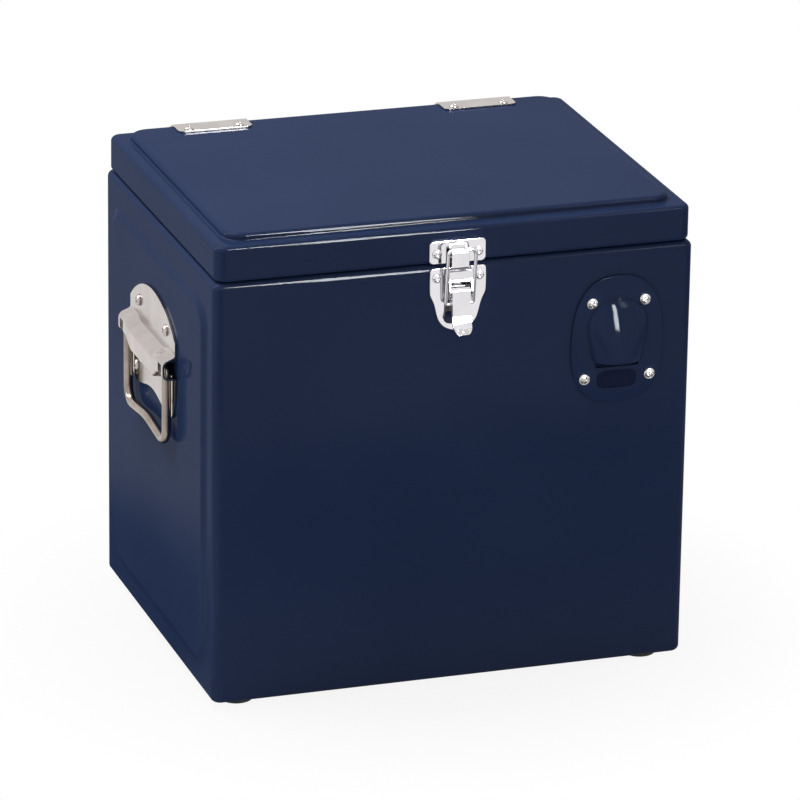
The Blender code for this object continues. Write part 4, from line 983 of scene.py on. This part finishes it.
for ear_name, low, high in (("right", -EAR_INNER - EAR_THICKNESS, -EAR_INNER),
                            ("left", EAR_INNER, EAR_INNER + EAR_THICKNESS)):
    ears.append(flat_plate("latch_ear_" + ear_name, ear, low, high, latch_side))
join_solids(base, ears, "UNION")
ease_edges(base, 0.2, 2, 50.0)
dress(base, chrome, "chest", ["latch_base"], 35.0)

pin_half = EAR_INNER + EAR_THICKNESS + 0.1
profile = [(0.5, pin_half + 0.3), (1.1, pin_half + 0.2), (LATCH_PIN_RADIUS, pin_half - 0.1)]
profile += [(radius, -height) for radius, height in reversed(profile)]
dress(turned("latch_rod", profile, LEVER_AXIS, (1, 0, 0), 24), steel, "chest", ["latch_pin"], 50.0)


def turned_out(points):
    """Latch points turned outward about the lever's axis into the rest position."""
    angle = math.radians(LATCH_REST_TURN)
    moved = []
    for out, z in points:
        a, b = out - axis_out, z - axis_up
        moved.append((axis_out + a * math.cos(angle) - b * math.sin(angle),
                      axis_up + b * math.cos(angle) + a * math.sin(angle)))
    return moved


lever_round = round_axis(LEVER_KNUCKLE, LEVER_KNUCKLE, 0, 10, 19)
lever_tip = axis_up - LEVER_LENGTH
lever_bend = axis_up - LEVER_BEND
lever_face = axis_out + LEVER_KNUCKLE
grip_foot = (lever_face + 1.0, lever_tip + 5.7)
grip_end = (lever_face + 2.9, lever_tip + 0.6)
lever_home = lever_round + [(2.1, -22.9), (2.1, -27.7), (3.4, -28.7), (lever_face - 3.6, lever_bend + 7.0),
                            (lever_face - 3.0, lever_bend), (lever_face - 0.8, lever_tip + 4.3),
                            (lever_face + 1.0, lever_tip), grip_end, grip_foot,
                            (lever_face - 0.7, lever_bend + 0.5), (lever_face - 0.2, lever_bend + 8.5),
                            (lever_face, axis_up - 5.0)]
lever = flat_plate("lever_press", turned_out(lever_home), -LEVER_HALF, LEVER_HALF, latch_side)
tip_z = lever_low.z - SEAM
plan_half = LEVER_HALF + LEVER_PLAN_PLAY
plan = rounded_rectangle(-plan_half, plan_half, tip_z - 0.01, axis_up + 9.0, LEVER_HALF - 0.2, 12)
join_solids(lever, [flat_plate("lever_plan", plan, -2.0, 24.0, front_face)], "INTERSECT")
ease_edges(lever, 0.35, 3, 35.0)
grip_low, grip_high = turned_out([grip_end, grip_foot])

# Anti-slip studs on the thumb tab, one more in each row away from its end
STUD_ROWS = 5
STUD_COUNT = 5
STUD_START = 0.12
STUD_RUN = 0.62
STUD_PITCH = 1.35
STUD_RADIUS = 0.45
STUD_SINK = 0.05
studs = bmesh.new()
for row in range(STUD_ROWS):
    share = STUD_START + STUD_RUN * row / (STUD_ROWS - 1)
    out = grip_low[0] + (grip_high[0] - grip_low[0]) * share
    z = grip_low[1] + (grip_high[1] - grip_low[1]) * share
    count = STUD_COUNT + row
    for k in range(count):
        x = (k - (count - 1) / 2) * STUD_PITCH
        spot = Vector((x, FRONT - out + STUD_SINK, SEAM + z)) * MM
        bmesh.ops.create_icosphere(studs, subdivisions=2, radius=STUD_RADIUS * MM,
                                   matrix=Matrix.Translation(spot))
stud_mesh = bpy.data.meshes.new("lever_studs")
studs.to_mesh(stud_mesh)
studs.free()
dress(lever, chrome, "latch_lever", ["latch_lever"], 35.0)
dress(new_piece("lever_studs", stud_mesh), satin, "latch_lever", sharp=60.0)

loop_low, loop_high = frame_box("latch_loop")
LOOP_RADIUS = 1.25
LOOP_END = 3.0
LOOP_FOOT = 1.6
LOOP_CORNER = 3.4
loop_half = loop_high.x - LOOP_RADIUS
bar = Vector((0.0, loop_low.y + LOOP_RADIUS, loop_high.z - LOOP_RADIUS))
rise = bar - LOOP_AXIS
reach = rise.length
corners = [(-LOOP_END, 0.0), (-loop_half, 0.0), (-loop_half, reach),
           (loop_half, reach), (loop_half, 0.0), (LOOP_END, 0.0)]
plane = rounded_path(corners, [0.0, LOOP_FOOT, LOOP_CORNER, LOOP_CORNER, LOOP_FOOT, 0.0], 10)
loop_path = [Vector((x, LOOP_AXIS.y, LOOP_AXIS.z)) + rise * (run / reach) for x, run in plane]
dress(wire("loop_wire", loop_path, LOOP_RADIUS, False), chrome, "latch_loop", ["latch_loop"], 60.0)

# Fasteners: cross-recessed pan heads and hollow-ended rivets, set where the frame has them
HEAD_RADIUS = 4.1
HEAD_HEIGHT = 2.5
RIVET_RADIUS = 3.4
RIVET_HEIGHT = 1.7
RIVET_START = 0.35
SHANK = 1.9
SHANK_LENGTH = 6.0
SHANK_TIP = 1.0
SEAT_GAP = 0.15
HEAD_FLAT = 0.3
HEAD_RIM = 0.7
# Arm and half width of the cross recess at its top and at its foot
CROSS_TOP = (3.0, 0.8)
CROSS_FOOT = (1.4, 0.5)
CROSS_LIFT = 0.3
CROSS_DEPTH = 1.8


def plus_outline(arm, half):
    """Outline of a cross with arms of one length and half width."""
    quarter = [(half, half), (half, arm), (-half, arm)]
    outline = []
    for turn in range(4):
        for x, y in quarter:
            for _ in range(turn):
                x, y = -y, x
            outline.append((x, y))
    return outline


def screw_mesh():
    """Pan head with a cross recess, and its shank."""
    profile = []
    for k in range(13):
        angle = math.pi / 2 * k / 12
        profile.append((HEAD_FLAT + (HEAD_RADIUS - HEAD_FLAT) * math.sin(angle),
                        HEAD_RIM + (HEAD_HEIGHT - HEAD_RIM) * math.cos(angle)))
    profile += [(HEAD_RADIUS, SEAT_GAP), (SHANK, SEAT_GAP), (SHANK, -SHANK_LENGTH),
                (0.4, -SHANK_LENGTH - SHANK_TIP)]
    head = turned("pan_head", profile, (0, 0, 0), (0, 0, 1), 40)
    recess = [[(x, y, HEAD_HEIGHT + CROSS_LIFT) for x, y in plus_outline(*CROSS_TOP)],
              [(x, y, HEAD_HEIGHT - CROSS_DEPTH) for x, y in plus_outline(*CROSS_FOOT)]]
    join_solids(head, [loft("cross", recess)], "DIFFERENCE")
    ease_edges(head, 0.08, 2, 40.0)
    mesh = head.data
    bpy.data.objects.remove(head, do_unlink=True)
    return mesh


def rivet_mesh():
    """Low dome with a hollow end, and its shank."""
    profile = [(0.8, RIVET_HEIGHT - 1.2), (1.0, RIVET_HEIGHT - 0.15), (1.25, RIVET_HEIGHT),
               (1.7, RIVET_HEIGHT * 0.97)]
    for k in range(9):
        angle = math.pi / 2 * (RIVET_START + (1.0 - RIVET_START) * k / 8)
        profile.append((RIVET_RADIUS * math.sin(angle),
                        SEAT_GAP + (RIVET_HEIGHT - SEAT_GAP) * math.cos(angle)))
    profile += [(SHANK, 0.1), (SHANK, -SHANK_LENGTH)]
    head = turned("rivet_head", profile, (0, 0, 0), (0, 0, 1), 40)
    mesh = head.data
    bpy.data.objects.remove(head, do_unlink=True)
    return mesh


screw_form = screw_mesh()
rivet_form = rivet_mesh()
SPIN_STEP = 37.0
# Direction in which the heads of each group point
TURNS = {"handle": "side", "opener": (0, -1, 0), "latch": (0, -1, 0), "foot": (0, 0, -1),
         "hinge_strap": (0, 0, 1), "hinge_leaf": (0, 1, 0)}
bodies = frame["record"]["behaviour"]["bodies"]
fastener_nodes = sorted(name for name in frame["nodes"] if "_screw_" in name or "_rivet_" in name)
for number, name in enumerate(fastener_nodes):
    direction = next(value for key, value in TURNS.items() if name.startswith(key))
    if direction == "side":
        direction = (-1, 0, 0) if "_left_" in name else (1, 0, 0)
    outward = Vector(direction)
    low, high = frame_box(name)
    centre = (low + high) / 2
    head_top = max(outward.dot(low), outward.dot(high))
    riveted = "rivet" in name or name.startswith("hinge")
    height = RIVET_HEIGHT if riveted else HEAD_HEIGHT
    seat = centre + outward * (head_top - height - outward.dot(centre))
    fastener = new_piece(name + "_head", (rivet_form if riveted else screw_form).copy())
    turn = outward.to_track_quat("Z", "X").to_matrix().to_4x4()
    spin = Matrix.Rotation(math.radians(SPIN_STEP * number % 90.0), 4, "Z")
    fastener.data.transform(Matrix.Translation(seat * MM) @ turn @ spin)
    skin = chrome if "rivet" in name else satin if name.startswith(("hinge", "handle")) else steel
    body = next(body for body, members in bodies.items() if name in members)
    dress(fastener, skin, body, [name], 35.0)


def seen_rays(nodes, links):
    """Socket that is 1 for camera, mirror and glass rays and 0 for the rays that light the object."""
    rays = new_node(nodes, "LightPath")
    seen = rays.outputs["Is Camera Ray"]
    for kind in ("Is Glossy Ray", "Is Transmission Ray"):
        either = new_node(nodes, "Math")
        either.operation = "MAXIMUM"
        links.new(seen, either.inputs[0])
        links.new(rays.outputs[kind], either.inputs[1])
        seen = either.outputs["Value"]
    return seen


# Floor, white to the eye away from the contact shadow; lengths in metres
FLOOR_HALF = 12.0
FLOOR_GREY = 0.7
SHADOW_FROM = 0.16
SHADOW_TO = 0.32
SHADOW_GLOW = 0.9
floor = new_piece("floor", bpy.data.meshes.new("floor"))
ground = bmesh.new()
bmesh.ops.create_grid(ground, x_segments=1, y_segments=1, size=FLOOR_HALF)
ground.to_mesh(floor.data)
ground.free()
pale = bpy.data.materials.new("pale_floor")
pale.use_nodes = True
nodes, links = pale.node_tree.nodes, pale.node_tree.links
nodes.clear()
surface = new_node(nodes, "OutputMaterial")
mix = new_node(nodes, "MixShader")
matt = new_node(nodes, "BsdfDiffuse", Color=(FLOOR_GREY, FLOOR_GREY, FLOOR_GREY, 1.0))
glow = new_node(nodes, "Emission")
spread = new_node(nodes, "MapRange", From_Min=SHADOW_FROM, From_Max=SHADOW_TO,
                  To_Min=SHADOW_GLOW, To_Max=1.0)
where = new_node(nodes, "TexCoord")
length = new_node(nodes, "VectorMath")
length.operation = "LENGTH"
links.new(where.outputs["Object"], length.inputs[0])
links.new(length.outputs["Value"], spread.inputs["Value"])
share = new_node(nodes, "Math")
share.operation = "MULTIPLY"
links.new(seen_rays(nodes, links), share.inputs[0])
links.new(spread.outputs["Result"], share.inputs[1])
links.new(share.outputs["Value"], mix.inputs["Fac"])
links.new(matt.outputs["BSDF"], mix.inputs[1])
links.new(glow.outputs["Emission"], mix.inputs[2])
links.new(mix.outputs["Shader"], surface.inputs["Surface"])
floor.data.materials.append(pale)

# World: white where it is seen directly or mirrored, softer as a light
WORLD_LIGHT = 0.34
world = bpy.data.worlds.new("studio")
bpy.context.scene.world = world
world.use_nodes = True
nodes, links = world.node_tree.nodes, world.node_tree.links
back_light = nodes["Background"]
back_light.inputs["Color"].default_value = (1.0, 1.0, 1.0, 1.0)
level = new_node(nodes, "MapRange", To_Min=WORLD_LIGHT, To_Max=1.0)
links.new(seen_rays(nodes, links), level.inputs["Value"])
links.new(level.outputs["Result"], back_light.inputs["Strength"])

# Dark cards that only reflections see, for painted dark reflections in the gloss; their soft edge takes up a share
# of their half size
CARD_HEIGHT = 0.004
CARD_FADE = 0.65
CARD_COLOUR = (44, 36, 33)
CARD_ROUGHNESS = 0.9


def dark_card(name, x0, x1, y0, y1):
    """Soft-edged dark card laid on the floor, in metres, unseen by the camera, diffuse light and shadows: a
    painted dark reflection for the gloss alone to mirror.
    """
    mesh = bpy.data.meshes.new(name)
    corners = [(x, y, CARD_HEIGHT) for x, y in ((x0, y0), (x1, y0), (x1, y1), (x0, y1))]
    mesh.from_pydata(corners, [], [(0, 1, 2, 3)])
    mesh.materials.append(painted_reflection_black)
    item = new_piece(name, mesh)
    item.visible_camera = False
    item.visible_diffuse = False
    item.visible_shadow = False


painted_reflection_black = bpy.data.materials.new("painted_reflection_black")
painted_reflection_black.use_nodes = True
nodes, links = painted_reflection_black.node_tree.nodes, painted_reflection_black.node_tree.links
card_face = nodes["Principled BSDF"]
set_inputs(card_face, {"Base Color": linear(*CARD_COLOUR), "Roughness": CARD_ROUGHNESS})
centred = new_node(nodes, "Mapping", Location=(-1.0, -1.0, 0.0), Scale=(2.0, 2.0, 0.0))
links.new(new_node(nodes, "TexCoord").outputs["Generated"], centred.inputs["Vector"])
round_fade = new_node(nodes, "TexGradient")
round_fade.gradient_type = "SPHERICAL"
links.new(centred.outputs["Vector"], round_fade.inputs["Vector"])
soft_edge = new_node(nodes, "MapRange", From_Max=CARD_FADE)
soft_edge.interpolation_type = "SMOOTHSTEP"
links.new(round_fade.outputs["Fac"], soft_edge.inputs["Value"])
links.new(soft_edge.outputs["Result"], card_face.inputs["Alpha"])
dark_card("card_front_left", -1.1, 0.1, -1.7, -0.3)
dark_card("card_right", 0.5, 1.7, -1.4, 0.5)
dark_card("card_near", -0.5, 0.8, -0.72, -0.14)
# Painted shadow: this card stands in for the floor's contact shadow, mirrored in the chest's lower left side
dark_card("card_left", -0.295, -0.045, -0.2, 0.44)


def lamp(name, spot, aim, size, power):
    """Soft rectangular lamp, in metres and watts."""
    light = bpy.data.lights.new(name, "AREA")
    light.shape = "RECTANGLE"
    light.size, light.size_y = size
    light.energy = power
    item = new_piece(name, light)
    item.location = spot
    item.rotation_euler = (Vector(aim) - Vector(spot)).to_track_quat("-Z", "Y").to_euler()
    item.visible_camera = False
    return item


CENTRE = (0.0, 0.0, 0.17)
KEY_COLOUR = (0.95, 1.0, 0.98)
GLOSS_COLOUR = (0.9, 0.95, 1.0)
key = lamp("key_left_top", (-0.9, 0.5, 2.2), CENTRE, (1.2, 1.2), 32.0)
key.data.color = KEY_COLOUR
gloss_lamps = [lamp("left_strip", (-1.3, 0.55, 0.8), CENTRE, (0.22, 0.8), 9.0),
               lamp("front_strip", (0.33, -1.3, 0.92), (0.33, -0.13, 0.92), (0.15, 1.2), 72.0),
               lamp("right_strip", (0.7, -1.0, 1.2), (0.125, -0.14, 0.27), (0.3, 0.5), 4.0)]
for gloss in gloss_lamps:
    gloss.visible_diffuse = False
    gloss.data.color = GLOSS_COLOUR

# Camera at the photograph's viewing angle; angles in radians, the offset in millimetres
IMAGE = 800
FOCAL_PIXELS = 5810.0
SENSOR = 36.0
YAW = 0.32452
PITCH = 0.34942
ROLL = 0.01444
OFFSET = Vector((-126.91, -207.66, 3947.72))
CORNER = Vector((-WIDTH / 2, FRONT, SHELL_BOTTOM))
forward = Vector((math.sin(YAW) * math.cos(PITCH), math.cos(YAW) * math.cos(PITCH), -math.sin(PITCH)))
level_right = Vector((math.cos(YAW), -math.sin(YAW), 0.0))
level_up = level_right.cross(forward)
right = level_right * math.cos(ROLL) + level_up * math.sin(ROLL)
up = level_up * math.cos(ROLL) - level_right * math.sin(ROLL)
eye = CORNER - right * OFFSET.x - up * OFFSET.y - forward * OFFSET.z
camera = bpy.data.objects.new("camera", bpy.data.cameras.new("camera"))
bpy.context.scene.collection.objects.link(camera)
camera.data.sensor_width = SENSOR
camera.data.lens = FOCAL_PIXELS / IMAGE * SENSOR
camera.data.clip_end = 60.0
axes = Matrix((right, up, -forward)).transposed().to_4x4()
camera.matrix_world = Matrix.Translation(eye * MM) @ axes
bpy.context.scene.camera = camera
bpy.context.scene.view_settings.view_transform = "Standard"
